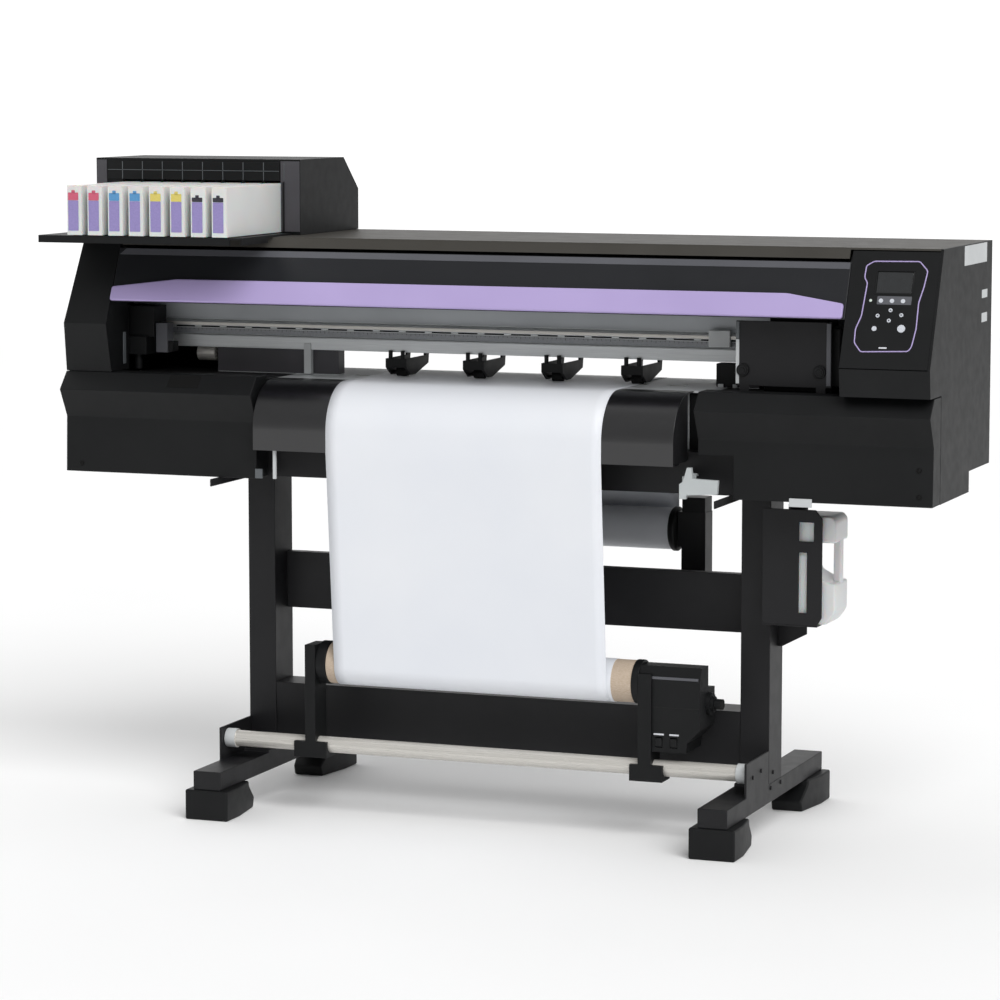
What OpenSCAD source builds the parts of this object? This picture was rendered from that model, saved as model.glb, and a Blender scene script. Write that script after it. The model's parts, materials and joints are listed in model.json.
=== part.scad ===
// Roll-fed printer cutter on a floor stand, with a front take-up unit and a rear supply roll.
// Millimetres. X runs along the machine, -Y is the operator's side, Z is up, Z = 0 is the floor.
// The origin is the middle of the footprint, on the floor.

/* [Body] */
// Length of the machine body
body_w = 1918; // [1900:1:1960]
// Height of the body's top face above the floor
body_top = 1223; // [1221:1:1226]
// Thickness of the side walls
wall = 6; // [4:1:6]
// Thickness of the formed cover skins
skin_t = 4; // [3:0.5:5]

/* [Stand] */
// Distance between the middles of the two legs
leg_pitch = 1117; // [1080:1:1120]
// Width of a leg and of a foot beam
leg_w = 63; // [55:1:66]
// Length of a foot beam
foot_len = 690; // [660:1:690]
// Height of a foot pad
pad_h = 64; // [50:1:64]

/* [Media] */
// Width of the loaded film
film_w = 610; // [400:10:640]
// Thickness of the film
film_t = 0.5; // [0.4:0.1:0.6]
// Outside radius of the cardboard core
core_r = 44; // [43:0.5:44]
// Outside radius of the supply roll
supply_r = 45; // [44:0.5:46]

/* [Ink supply] */
// Distance between neighbouring cartridges
ink_pitch = 48; // [46:1:50]
// Width of a cartridge
ink_w = 34; // [28:1:36]
// Length of a cartridge
ink_len = 378; // [340:1:390]

/* [Controls] */
// How far a panel key stands out
key_out = 1.2; // [1:0.1:2]
// Rise of the clamp lever's handle above its pivot
lever_h = 26; // [20:1:30]

/* [Hidden] */
$fn = 48;
CARTRIDGES = 8;

// Body
body_x = body_w / 2;
inner_x = body_x - wall;
body_rear = 266;
body_bottom = 714;
step_z = 757;
step_y = 90;
side_front = -150;
top_front = -145;
crown_z = 1220;
slope = 0.437;
face_tilt = 90 - atan(slope);
cover_seam_z = 930;
opening_left = -852;
opening_right = 774;
hinge_y = -134;
hinge_z = 1204;
hinge_pin_r = 3;
roof_left = -934;

// Stand
stand_x = -9;
foot_y = foot_len / 2;
foot_h = 40;
foot_top = pad_h + foot_h;
leg_front = -57;
leg_rear = 35;
leg_top = 698;
tube_r = 17;
tube_y = -180;
tube_z = 148;
bracket_t = 5;
bracket_front = -215;
tube_left = stand_x - leg_pitch / 2 - leg_w / 2 + bracket_t;
tube_right = stand_x + leg_pitch / 2 + leg_w / 2 - bracket_t;

// Film path
deck_z = 922;
deck_low = 918;
film_gap = 0.2;
guide_r = 100;
guide_y = -144;
guide_low = 782;
guide_t = 3;
guide_left = -501;
guide_right = 430;
film_left = -334;
film_right = film_left + film_w;
take_y = -160;
take_z = 322;
wrap_r = core_r + 1;
core_bore = 38;
rear_bend_y = 170;
rear_bend_r = 100;
drop_y = rear_bend_y + rear_bend_r;
supply_y = drop_y - supply_r;
supply_z = 592;
flange_r = 48;

// Feed rollers
grit_y = 5;
grit_r = 11;
grit_shaft_r = 6;
pinch_r = 10;
pinch_z = deck_z + film_gap + film_t + 0.3 + pinch_r;
pinch_pitch = 177;
pinch_mid = 4.5;
pinch_axis_y = 88;
pinch_axis_z = 1004;
pinch_shaft_r = 5;
grit_z = deck_z - 0.1 - grit_r;
running = 0.08;

// Y bar and carriages
bar_left = -890;
bar_right = 830;
bar_low = 976;
bar_front = -24;
bar_rear = 60;
bar_top = 1120;
belt_z = 1093;
belt_y = -33;
pulley_r = 12;

// Take-up
core_left = -355;
core_right = 328;
shaft_r = 9;
arm_front = -206;
arm_rear = -146;
hub_r = 46;
drive_right = 476;
torque_y = -140;
torque_z = 281;
switch_y = -197;
switch_z = 205;
rocker_pin_r = 1.2;

// Clamp lever
lever_y = -172;
lever_z = 750;
lever_pin_r = 5;

// Ink tower
tower_left = -959;
tower_right = -474;
tower_front = -51;
tower_base = body_top + 0.5;
tower_top = 1384;
ink_left = -888;
ink_z = 1229;
ink_h = 104;
ink_front = -328;
tray_left = -959;
tray_right = -494;
tray_front = -324;

module block(lo, hi) {
    translate(lo)
        cube(hi - lo);
}

// Extrudes an outline given as [y, z] points from x0 to x1
module prism_x(x0, x1, outline) {
    translate([x0, 0, 0])
        rotate([90, 0, 90])
            linear_extrude(x1 - x0)
                polygon(outline);
}

// Extrudes an outline given as [x, z] points from y0 to y1
module prism_y(y0, y1, outline) {
    translate([0, y1, 0])
        rotate([90, 0, 0])
            linear_extrude(y1 - y0)
                polygon(outline);
}

module rod_x(x0, x1, y, z, r) {
    translate([x0, y, z])
        rotate([0, 90, 0])
            cylinder(r = r, h = x1 - x0);
}

module ring_x(x0, x1, y, z, r_out, r_in) {
    translate([x0, y, z])
        rotate([0, 90, 0])
            rotate_extrude()
                translate([r_in, 0])
                    square([r_out - r_in, x1 - x0]);
}

// Part of a ring about X, from angle a0 by sweep degrees, with 0 at +Y and 90 at +Z
module arc_x(x0, x1, y, z, r_in, r_out, a0, sweep) {
    translate([x0, y, z])
        rotate([90, 0, 90])
            rotate([0, 0, a0])
                rotate_extrude(angle = sweep)
                    translate([r_in, 0])
                        square([r_out - r_in, x1 - x0]);
}

// A strip t thick in Y behind a line of [y, z] points
function strip(points, t) = concat(
    points,
    [for (i = [len(points) - 1:-1:0]) points[i] + [t, 0]]
);

// Y of the sloping front face at height z
function face_y(z) = top_front - slope * (crown_z - z);

// Puts its children on the sloping face: X along the body, Y up the slope from the top edge, Z out
module on_face() {
    translate([0, top_front, crown_z])
        rotate([face_tilt, 0, 0])
            children();
}

// Distance up the slope, negative downwards, of a point at height z
function up_face(z) = (z - crown_z) / sin(face_tilt);

function leg_x(side) = stand_x + side * leg_pitch / 2;

// ---- Stand ----

module leg(side) {
    x = leg_x(side);
    w = leg_w / 2;
    difference() {
        block([x - w, leg_front, foot_top], [x + w, leg_rear, leg_top]);
        block([x - w + 3, leg_front + 3, foot_top - 1], [x + w - 3, leg_rear - 3, leg_top - 3]);
    }
    block([x - w, leg_front, leg_top], [x + w, 180, body_bottom]);
    // Side flange that runs forward under the body
    block([x - w, -250, leg_top], [x - w + 4, leg_front, body_bottom]);
}

module legs() {
    color("#26272a")
        for (side = [-1, 1])
            leg(side);
}

module foot(side) {
    x = leg_x(side);
    w = leg_w / 2;
    outer = x + side * w;
    difference() {
        block([x - w, -foot_y, pad_h], [x + w, foot_y, foot_top]);
        block([x - w + 4, -foot_y + 4, pad_h - 1], [x + w - 4, foot_y - 4, foot_top - 4]);
    }
    // Upright plate in front of the leg, which holds the end of the carrier tube
    block(
        [min(outer, outer - side * bracket_t), bracket_front, foot_top - 1],
        [max(outer, outer - side * bracket_t), leg_front, 175]
    );
    block([x - w, leg_front - 40, foot_top - 1], [x + w, leg_front, foot_top + 6]);
}

module feet() {
    color("#2b2b2a")
        for (side = [-1, 1])
            foot(side);
}

// One pad at the end of a foot beam; it widens to its outer end, and its inner face is hollow
module pad(side, end) {
    x = leg_x(side);
    inner_top = foot_y - 130;
    inner_low = foot_y - 168;
    narrow = 33;
    wide = 49;
    hollow_r = 32;
    mirror([0, end > 0 ? 0 : 1, 0])
        difference() {
            intersection() {
                prism_x(x - wide, x + wide, [
                    [350, 0],
                    [350, pad_h],
                    [inner_top, pad_h],
                    [inner_top, pad_h - 10],
                    [inner_low, 22],
                    [inner_low + 8, 0]
                ]);
                linear_extrude(pad_h)
                    polygon([
                        [x - narrow, inner_low],
                        [x + narrow, inner_low],
                        [x + wide, foot_y - 60],
                        [x + wide, 350],
                        [x - wide, 350],
                        [x - wide, foot_y - 60]
                    ]);
            }
            rod_x(x - wide - 1, x + wide + 1, inner_low - 4, pad_h - 4, hollow_r);
        }
}

module foot_pads() {
    color("#1f1f20")
        for (side = [-1, 1])
            for (end = [-1, 1])
                pad(side, end);
}

beam_left = leg_x(-1) + leg_w / 2;
beam_right = leg_x(1) - leg_w / 2;

module rear_beam() {
    color("#232427")
        prism_x(beam_left, beam_right, [
            [5, 409],
            [30, 409],
            [30, 412],
            [8, 436],
            [8, 529],
            [30, 529],
            [30, 532],
            [5, 532]
        ]);
}

module front_beam() {
    color("#1d1e20")
        prism_x(beam_left, beam_right, [
            [-57, 121],
            [28, 121],
            [28, 124],
            [-54, 124],
            [-50, 170],
            [-54, 250],
            [28, 250],
            [28, 253],
            [-57, 253],
            [-53, 170]
        ]);
}

module carrier_tube() {
    color("#c9c6c0") {
        ring_x(tube_left, tube_right, tube_y, tube_z, tube_r, tube_r - 2);
        ring_x(tube_left, tube_left + 24, tube_y, tube_z, tube_r + 3, tube_r - 1);
        ring_x(tube_right - 24, tube_right, tube_y, tube_z, tube_r + 3, tube_r - 1);
    }
}

// ---- Main frame ----

module bed_frame() {
    rib = 8;
    color("#202123") {
        difference() {
            block([-inner_x, side_front + 3, body_bottom], [inner_x, step_y, 800]);
            block([-inner_x - 1, side_front + 7, body_bottom + 4], [inner_x + 1, step_y - 4, 796]);
        }
        block([-inner_x, step_y - 1, step_z], [inner_x, body_rear - 4, step_z + 4]);
        difference() {
            for (x = [-840, -512, 482, 762])
                block([x, -110, 799], [x + rib, 172, deck_low + 1]);
            rod_x(-513, 491, grit_y, grit_z, grit_shaft_r + running);
        }
        // Decks left and right of the platen
        block([opening_left, side_front, deck_low], [-504, 175, deck_z]);
        block([474, side_front, deck_low], [opening_right, 175, deck_z]);
        // Bracket and pin of the clamp lever
        block([431, lever_y - 12, lever_z - 13], [437, side_front + 4, lever_z + 13]);
        rod_x(436, 462, lever_y, lever_z, lever_pin_r);
    }
}

module platen() {
    window = 22;
    color("#b9bcbe")
        difference() {
            union() {
                block([-503, -110, deck_low], [473, 168, deck_z]);
                for (y = [-96, 60, 150])
                    block([-503, y, 800], [473, y + 5, deck_low + 1]);
            }
            for (k = [-5:4])
                block(
                    [pinch_mid + k * pinch_pitch / 2 - window, grit_y - 14, deck_low - 1],
                    [pinch_mid + k * pinch_pitch / 2 + window, grit_y + 14, deck_z + 1]
                );
        }
}

// Sheet guide that carries the film from the platen round and down
module media_guide() {
    t = guide_t;
    rear = side_front + 2;
    front = guide_y - guide_r;
    middle_z = deck_z - guide_r;
    color("#232428") {
        arc_x(guide_left, guide_right, guide_y, middle_z, guide_r - t, guide_r, 90, 90);
        block([guide_left, guide_y, deck_z - t], [guide_right, -110.2, deck_z]);
        block([guide_left, front, guide_low], [guide_right, front + t, middle_z]);
        block([guide_left, front, guide_low - t], [guide_right, front + 40, guide_low]);
        for (x = [guide_left, guide_right - t])
            prism_x(x, x + t, [
                [front + 40, guide_low - 1],
                [rear, guide_low - 1],
                [rear, deck_z - 1],
                [guide_y - 60, deck_z - 40]
            ]);
    }
}

// ---- Covers ----

cover_line = [[-205, cover_seam_z], [-238, 893], [-206, 833], [-210, body_bottom]];

// Hollow cover under the opening, from x0 to x1, with end walls and flanges
module lower_cover(x0, x1) {
    inside = concat(cover_line, [[side_front - 1, body_bottom], [side_front - 1, cover_seam_z]]);
    prism_x(x0, x1, strip(cover_line, skin_t));
    for (x = [x0, x1 - 3])
        prism_x(x, x + 3, inside);
    block([x0, -208, body_bottom], [x1, side_front - 1, body_bottom + 3]);
    block([x0, -204, cover_seam_z - 3], [x1, side_front - 1, cover_seam_z]);
}

module left_lower_cover() {
    color("#26272a")
        lower_cover(-body_x, -509);
}

module right_lower_cover() {
    color("#26272a")
        difference() {
            lower_cover(470, body_x);
            block([469, -250, body_bottom - 1], [546, side_front, 802]);
        }
}

wall_line = [
    [body_rear, body_top],
    [body_rear, step_z],
    [step_y, step_z],
    [step_y, body_bottom],
    [side_front, body_bottom]
];

// Bore of a cover hinge pin in a jamb 4 thick that starts at x
module hinge_bore(x) {
    rod_x(x - 1, x + 5, hinge_y, hinge_z, hinge_pin_r + running);
}

module left_side_cover() {
    nose = [[top_front, crown_z - 2], [-227, 1035], [-203, cover_seam_z + 1]];
    lean = [
        [-body_x, body_bottom - 1],
        [-body_x, cover_seam_z],
        [roof_left - wall, body_top],
        [roof_left, body_top],
        [-inner_x, cover_seam_z],
        [-inner_x, body_bottom - 1]
    ];
    lean_face = [
        [-body_x, cover_seam_z],
        [roof_left - wall, body_top],
        [opening_left, body_top],
        [opening_left, cover_seam_z]
    ];
    color("#2a2b2e") {
        intersection() {
            prism_x(-body_x, roof_left, concat(wall_line, [[side_front, 931], nose[2], nose[1], nose[0]]));
            prism_y(-240, body_rear, lean);
        }
        intersection() {
            prism_x(-body_x, opening_left, strip(nose, skin_t));
            prism_y(-240, -100, lean_face);
        }
        difference() {
            prism_x(opening_left - 4, opening_left, [
                nose[2] + [2, 0],
                nose[1] + [2, 0],
                nose[0] + [2, 0],
                [-117, crown_z - 2],
                [-117, cover_seam_z + 1]
            ]);
            hinge_bore(opening_left - 4);
        }
    }
}

module right_side_cover() {
    chin = [[-245.4, 988], [-238, cover_seam_z + 2]];
    color("#2c2d30") {
        prism_x(inner_x, body_x, concat(
            wall_line,
            [[side_front, 932], chin[1], chin[0], [top_front, crown_z], [top_front, body_top]]
        ));
        prism_x(opening_right, inner_x + 1, strip(chin, skin_t));
        difference() {
            prism_x(opening_right, opening_right + 4, [
                chin[1] + [2, 0],
                [-242.9, 984],
                [face_y(984) + 12, 984],
                [face_y(1212) + 12, 1212],
                [-100, 1212],
                [-100, 932]
            ]);
            hinge_bore(opening_right);
        }
    }
}

module top_cover() {
    lip = [[top_front, body_top], [top_front, crown_z], [face_y(1201), 1201]];
    color("#55534e") {
        block([roof_left, top_front, body_top - 4], [inner_x, body_rear, body_top]);
        // The lip leaves room at both ends for the front cover's hinge arms
        prism_x(opening_left + 6, opening_right - 6, strip(lip, skin_t));
    }
}

module rear_cover() {
    outline = [
        [-inner_x, step_z + 5],
        [-inner_x, cover_seam_z],
        [roof_left, body_top - 4.5],
        [inner_x, body_top - 4.5],
        [inner_x, step_z + 5]
    ];
    color("#2a2b2d") {
        difference() {
            prism_y(body_rear - 4, body_rear, outline);
            // Slot where the film comes in, and the hole of the mains inlet
            block([-560, body_rear - 5, 850], [520, body_rear + 1, 962]);
            block([864, body_rear - 5, 788], [896, body_rear + 1, 812]);
        }
        arc_x(-503, 473, rear_bend_y, deck_z - rear_bend_r, rear_bend_r - 3, rear_bend_r, 0, 90);
        block(
            [-503, body_rear - 4, deck_z - rear_bend_r - 12],
            [473, drop_y, deck_z - rear_bend_r]
        );
    }
}

bar_ends = [up_face(1083), up_face(1112), up_face(1130)];
cover_left = opening_left + 1;
cover_right = opening_right - 1;

module front_cover() {
    color("#242528") {
        prism_x(cover_left, cover_right, strip([[face_y(1195), 1195], [face_y(1083), 1083]], skin_t));
        // End cheeks with the hinge arms, and the hinge pins
        for (x = [cover_left, cover_right - 3])
            prism_x(x, x + 3, [
                [face_y(1195), 1195],
                [face_y(1083), 1083],
                [face_y(1083) + 22, 1083],
                [face_y(1180) + 10, 1180],
                [hinge_y + 6, hinge_z - 6],
                [hinge_y + 6, hinge_z + 5],
                [hinge_y - 5, hinge_z + 5],
                [face_y(1195) + 3, 1195]
            ]);
        rod_x(cover_left - 7, cover_left + 2, hinge_y, hinge_z, hinge_pin_r);
        rod_x(cover_right - 2, cover_right + 7, hinge_y, hinge_z, hinge_pin_r);
        on_face()
            linear_extrude(8)
                polygon([
                    [cover_left, bar_ends[0]],
                    [cover_left, bar_ends[1]],
                    [-700, bar_ends[2]],
                    [650, bar_ends[2]],
                    [cover_right - 4, bar_ends[1]],
                    [cover_right - 4, bar_ends[0]]
                ]);
    }
}

// ---- Control panel ----

// Name order follows NODES: three function keys, four arrows, end and enter, as [x, z, radius]
KEYS = [
    [843, 1121, 4.5],
    [865.5, 1121, 4.5],
    [888, 1121, 4.5],
    [865, 1103, 4],
    [864, 1083, 4],
    [840, 1092, 4],
    [888, 1094, 4],
    [836, 1067, 5],
    [891, 1068, 8]
];
panel_t = 10;

module control_panel() {
    screen = [[830, up_face(1136)], [903, up_face(1178)]];
    color("#2b2c2f")
        on_face()
            difference() {
                translate([opening_right, up_face(990), -panel_t])
                    cube([inner_x - opening_right, up_face(1217) - up_face(990), panel_t]);
                translate([screen[0].x, screen[0].y, -3])
                    cube([screen[1].x - screen[0].x, screen[1].y - screen[0].y, 4]);
                for (k = KEYS)
                    translate([k[0], up_face(k[1]), -panel_t - 1])
                        cylinder(r = k[2] + 0.3, h = panel_t + 2);
            }
}

module panel_key(n) {
    k = KEYS[n];
    color("#d9dbe0")
        on_face()
            translate([k[0], up_face(k[1]), 2 - panel_t])
                cylinder(r = k[2], h = panel_t - 2 + key_out);
}

// ---- Carriages, belt and rollers ----

module y_bar() {
    outside = [
        [bar_front, bar_low],
        [bar_rear, bar_low],
        [bar_rear, bar_top],
        [-14, bar_top],
        [-14, 1035],
        [bar_front, 1033],
        [bar_front, 1020],
        [-19, 1018],
        [-19, 1004],
        [bar_front, 1002]
    ];
    color("#a9adb0") {
        difference() {
            prism_x(bar_left, bar_right, outside);
            prism_x(bar_left - 1, bar_right + 1, [
                [-12, 988],
                [bar_rear - 6, 988],
                [bar_rear - 6, bar_top - 6],
                [-8, bar_top - 6],
                [-8, 1040],
                [-12, 1030]
            ]);
        }
        // Rail for the carriages
        block([bar_left, -32, 1023], [bar_right, bar_front + 1, 1031]);
        // Posts that carry the bar
        block([-689, -12, deck_z], [-404, 20, bar_low + 1]);
        block([492, -12, deck_z], [540, 40, bar_low + 1]);
        // Hangers of the pinch shaft
        for (x = [-560, 528])
            difference() {
                block(
                    [x, bar_rear - 1, pinch_axis_z - 18],
                    [x + 12, pinch_axis_y + 14, pinch_axis_z + 20]
                );
                rod_x(x - 1, x + 13, pinch_axis_y, pinch_axis_z, pinch_shaft_r + running);
            }
    }
}

module pulley_set(x) {
    translate([x, belt_y + 8, belt_z])
        rotate([90, 0, 0])
            cylinder(r = pulley_r - 0.1, h = 8);
    translate([x, belt_y + 19, belt_z])
        rotate([90, 0, 0])
            cylinder(r = 4, h = 12);
}

module belt_loop(r, y0, y1) {
    for (x = [-878, 870])
        translate([x, y1, belt_z])
            rotate([90, 0, 0])
                cylinder(r = r, h = y1 - y0);
    block([-878, y0, belt_z - r], [870, y1, belt_z + r]);
}

module belt_drive() {
    color("#1b1c1e") {
        difference() {
            belt_loop(pulley_r + 1.5, belt_y, belt_y + 6);
            belt_loop(pulley_r, belt_y - 1, belt_y + 7);
        }
        pulley_set(-878);
        pulley_set(870);
        // Idler plate, carriage motor and feed gear motor
        block([-896, -18, belt_z - 18], [-860, -14, belt_z + 18]);
        block([846, -18, belt_z - 24], [894, 52, belt_z + 24]);
        block([562, -16, 872], [622, 26, 917]);
    }
}

module print_carriage() {
    x = 560;
    color("#1f2022") {
        block([x, -128, 940], [x + 185, -38, 1060]);
        block([x + 20, -118, 926], [x + 165, -48, 941]);
        block([x + 30, -110, 1059], [x + 155, -40, 1078]);
    }
}

module cutter_carriage() {
    x = -875;
    color("#2a2b2d") {
        block([x, -100, 1000], [x + 75, -38, 1066]);
        block([x + 8, -112, 962], [x + 62, -48, 1001]);
        translate([x + 35, -94, 930])
            cylinder(r = 8, h = 40);
    }
}

// Two cheeks with tails up to the shaft, a bridge over the roller, and a nose with two spring studs
module pinch_unit(x) {
    half = 21.5;
    nose = bar_front - 10;
    top = pinch_z + 30;
    for (side = [-1, 1])
        prism_x(x + side * half - 2.5, x + side * half + 2.5, [
            [nose, pinch_z + 11],
            [grit_y - 12, pinch_z - 6],
            [grit_y + 12, pinch_z - 6],
            [pinch_axis_y + 4, pinch_z + 13],
            [pinch_axis_y + 12, pinch_axis_z - 8],
            [pinch_axis_y + 10, pinch_axis_z + 8],
            [pinch_axis_y - 8, pinch_axis_z + 8],
            [pinch_axis_y - 12, top],
            [nose, top]
        ]);
    block([x - half, grit_y - 11, pinch_z + 13], [x + half, grit_y + 13, top - 4]);
    block([x - half, nose, pinch_z + 11], [x + half, nose + 6, top]);
    for (side = [-1, 1])
        translate([x + side * 14, nose + 4.5, top - 1])
            cylinder(r = 4.5, h = 18);
    rod_x(x - half, x + half, grit_y, pinch_z, 3);
    ring_x(x - 12, x + 12, pinch_axis_y, pinch_axis_z, 9, 3);
}

module pinch_arms() {
    color("#222325") {
        for (i = [0:3])
            pinch_unit(pinch_mid + (i - 1.5) * pinch_pitch);
        rod_x(-564, 544, pinch_axis_y, pinch_axis_z, pinch_shaft_r);
    }
}

module pinch_rollers() {
    color("#141415")
        for (i = [0:3]) {
            x = pinch_mid + (i - 1.5) * pinch_pitch;
            ring_x(x - 12, x + 12, grit_y, pinch_z, pinch_r, 3 + running);
        }
}

module grit_roller() {
    color("#8d8f92") {
        rod_x(-520, 561.5, grit_y, grit_z, grit_shaft_r);
        for (k = [-5:4])
            rod_x(
                pinch_mid + k * pinch_pitch / 2 - 16,
                pinch_mid + k * pinch_pitch / 2 + 16,
                grit_y,
                grit_z,
                grit_r
            );
    }
}

module station_panel() {
    color("#26272a") {
        block([532, -150, 940], [732, -147, 1072]);
        for (x = [540, 700])
            block([x, -150, deck_z], [x + 20, -147, 941]);
        for (x = [547, 708])
            translate([x, -149, 972])
                rotate([90, 0, 0])
                    cylinder(r = 9, h = 9);
    }
}

module cap_station() {
    color("#3a3b3d")
        for (x = [585, 665])
            difference() {
                block([x, -112, deck_z], [x + 55, -54, deck_z + 3]);
                block([x + 6, -106, deck_z + 1], [x + 49, -60, deck_z + 4]);
            }
}

module clamp_lever() {
    front = lever_y - 50;
    top = lever_z + lever_h;
    color("#c9cdce") {
        ring_x(438, 458, lever_y, lever_z, 10, lever_pin_r + running);
        block([440, front + 8, lever_z - 7], [456, lever_y - 8, lever_z + 7]);
        prism_y(front, front + 10, [
            [436, lever_z - 38],
            [450, lever_z - 38],
            [451, lever_z - 30],
            [516, lever_z - 26],
            [518, lever_z + 2],
            [464, lever_z + 4],
            [461, top],
            [452, top],
            [444, lever_z - 2],
            [436, lever_z - 8]
        ]);
    }
}

// ---- Ink supply ----

module ink_tower() {
    rise = tower_top - tower_base;
    color("#232427")
        difference() {
            prism_x(tower_left, tower_right, [
                [tower_front, tower_base],
                [body_rear, tower_base],
                [body_rear, tower_base + 0.56 * rise],
                [185, tower_top],
                [tower_front, tower_top]
            ]);
            for (i = [0:CARTRIDGES - 1])
                block(
                    [ink_left + i * ink_pitch - 3, tower_front - 1, tower_base + 4],
                    [ink_left + i * ink_pitch + ink_w + 3, 70, ink_z + ink_h + 5]
                );
            prism_x(tower_left + 4, tower_right - 4, [
                [76, tower_base - 1],
                [body_rear - 4, tower_base - 1],
                [body_rear - 4, tower_base + 0.56 * rise - 2],
                [183, tower_top - 4],
                [76, tower_top - 4]
            ]);
        }
}

module cartridge_tray() {
    low = body_top - 11;
    top = body_top + 4.5;
    color("#1d1e20") {
        difference() {
            block([tray_left, tray_front, body_top + 0.5], [tray_right, tower_front - 0.2, top]);
            translate([tray_right, tray_front, body_top])
                rotate([0, 0, 45])
                    cube([28, 28, 20], center = true);
        }
        block([tray_left, tray_front, low], [tray_right - 20, tray_front + 4, top]);
        block([tray_left, tray_front, low], [tray_left + 4, -175, top]);
        block([tray_right - 4, tray_front + 20, low], [tray_right, -175, top]);
    }
}

module cartridge(i) {
    x = ink_left + i * ink_pitch;
    color("#d8d9de")
        difference() {
            block([x, ink_front, ink_z], [x + ink_w, ink_front + ink_len, ink_z + ink_h]);
            block([x + 5, ink_front - 1, ink_z + 5], [x + ink_w - 5, ink_front + 2, ink_z + ink_h - 8]);
            translate([x + ink_w / 2, ink_front + ink_len + 1, ink_z + 30])
                rotate([90, 0, 0])
                    cylinder(r = 6, h = 9);
        }
}

// ---- Waste ink ----

module waste_guard() {
    left = leg_x(1) + leg_w / 2;
    color("#1e1f21") {
        difference() {
            prism_y(-116, -112, [
                [left, 451],
                [left, 688],
                [693, 688],
                [707, 670],
                [707, 467],
                [697, 451]
            ]);
            block([658, -117, 623], [689, -111, 662]);
            block([658, -117, 476], [675, -111, 600]);
        }
        // Shelf under the bottle, with its gusset
        block([left, -113, 447], [697, 20, 451]);
        prism_y(0, 4, [
            [left, 386],
            [590, 386],
            [643, 414],
            [643, 448],
            [left, 448]
        ]);
    }
}

module waste_bottle() {
    color("#d9dcdf") {
        difference() {
            prism_y(-106, -13, [
                [592, 452],
                [714, 452],
                [733, 478],
                [733, 665],
                [724, 675],
                [592, 675]
            ]);
            // The grip is thinner than the bottle, with a hole behind it
            prism_y(-107, -12, [
                [680, 558],
                [718, 538],
                [718, 620],
                [680, 620]
            ]);
            for (y = [-107, -44])
                block([717, y, 538], [734, y + (y < -100 ? 38 : 32), 620]);
        }
        translate([640, -60, 674])
            cylinder(r = 20, h = 20);
    }
}

// ---- Take-up ----

module tube_clamp(x0, x1) {
    half = 26;
    difference() {
        block([x0, tube_y - half, tube_z - half], [x1, tube_y + half, tube_z + 8]);
        rod_x(x0 - 1, x1 + 1, tube_y, tube_z, tube_r + running);
    }
}

module left_takeup_arm() {
    color("#232426") {
        tube_clamp(-428, -353);
        difference() {
            block([-402, arm_front, tube_z], [-378, arm_rear, 364]);
            rod_x(-403, -377, take_y, take_z, shaft_r + running);
            rod_x(-403, -377, tube_y, tube_z, tube_r + running);
        }
    }
}

module left_hub() {
    color("#191a1b") {
        rod_x(-412, -402.3, take_y, take_z, 15);
        rod_x(-403, -377, take_y, take_z, shaft_r);
        rod_x(-377.7, core_left - 0.3, take_y, take_z, hub_r);
        rod_x(core_left - 1, core_left + 40, take_y, take_z, core_bore - running);
    }
}

module takeup_core() {
    color("#c9b79c") {
        ring_x(core_left, core_right, take_y, take_z, core_r, core_bore);
        ring_x(film_left, film_right, take_y, take_z, wrap_r, core_r - 1);
    }
}

module drive_hub() {
    color("#191a1b") {
        rod_x(core_right - 40, core_right + 1, take_y, take_z, core_bore - running);
        rod_x(core_right + 0.3, 344, take_y, take_z, hub_r);
        rod_x(343, 440, take_y, take_z, shaft_r);
    }
}

module takeup_drive() {
    left = 344.3;
    plate = 373;
    floor_z = 185;
    color("#27282b") {
        tube_clamp(326, 397);
        difference() {
            union() {
                block([left, arm_front, tube_z], [plate, arm_rear, 346]);
                intersection() {
                    prism_x(left, drive_right, [
                        [-200, floor_z],
                        [-200, 335],
                        [-186, 361],
                        [-144, 361],
                        [-144, 318],
                        [-100, 312],
                        [-100, floor_z]
                    ]);
                    prism_y(-201, -99, [
                        [left, floor_z],
                        [447, floor_z],
                        [449, 206],
                        [drive_right, 234],
                        [drive_right, 362],
                        [left, 362]
                    ]);
                }
                rod_x(drive_right - 1, 484, torque_y, torque_z, 24);
                rod_x(483, 490, torque_y, torque_z, 16);
            }
            rod_x(left - 1, 441, take_y, take_z, shaft_r + running);
            rod_x(drive_right - 20, 491, torque_y, torque_z, 6 + running);
            rod_x(left - 1, plate + 1, tube_y, tube_z, tube_r + running);
            for (x = SWITCHES) {
                block([x - 8, -201, switch_z - 11], [x + 8, -184, switch_z + 11]);
                rod_x(x - 9.2, x + 9.2, switch_y, switch_z, rocker_pin_r + running);
            }
        }
    }
}

SWITCHES = [388, 420];

module rocker(x) {
    color("#101112") {
        prism_x(x - 7, x + 7, [
            [switch_y - 4, switch_z],
            [switch_y - 6, switch_z + 9],
            [switch_y + 6, switch_z + 7],
            [switch_y + 8, switch_z],
            [switch_y + 6, switch_z - 7],
            [switch_y - 3, switch_z - 9]
        ]);
        rod_x(x - 9, x + 9, switch_y, switch_z, rocker_pin_r);
    }
}

module torque_nut() {
    color("#3a3b3d") {
        rod_x(drive_right - 18, 491, torque_y, torque_z, 6);
        rod_x(490.3, 507, torque_y, torque_z, 11);
    }
}

// ---- Rear supply and film ----

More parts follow.
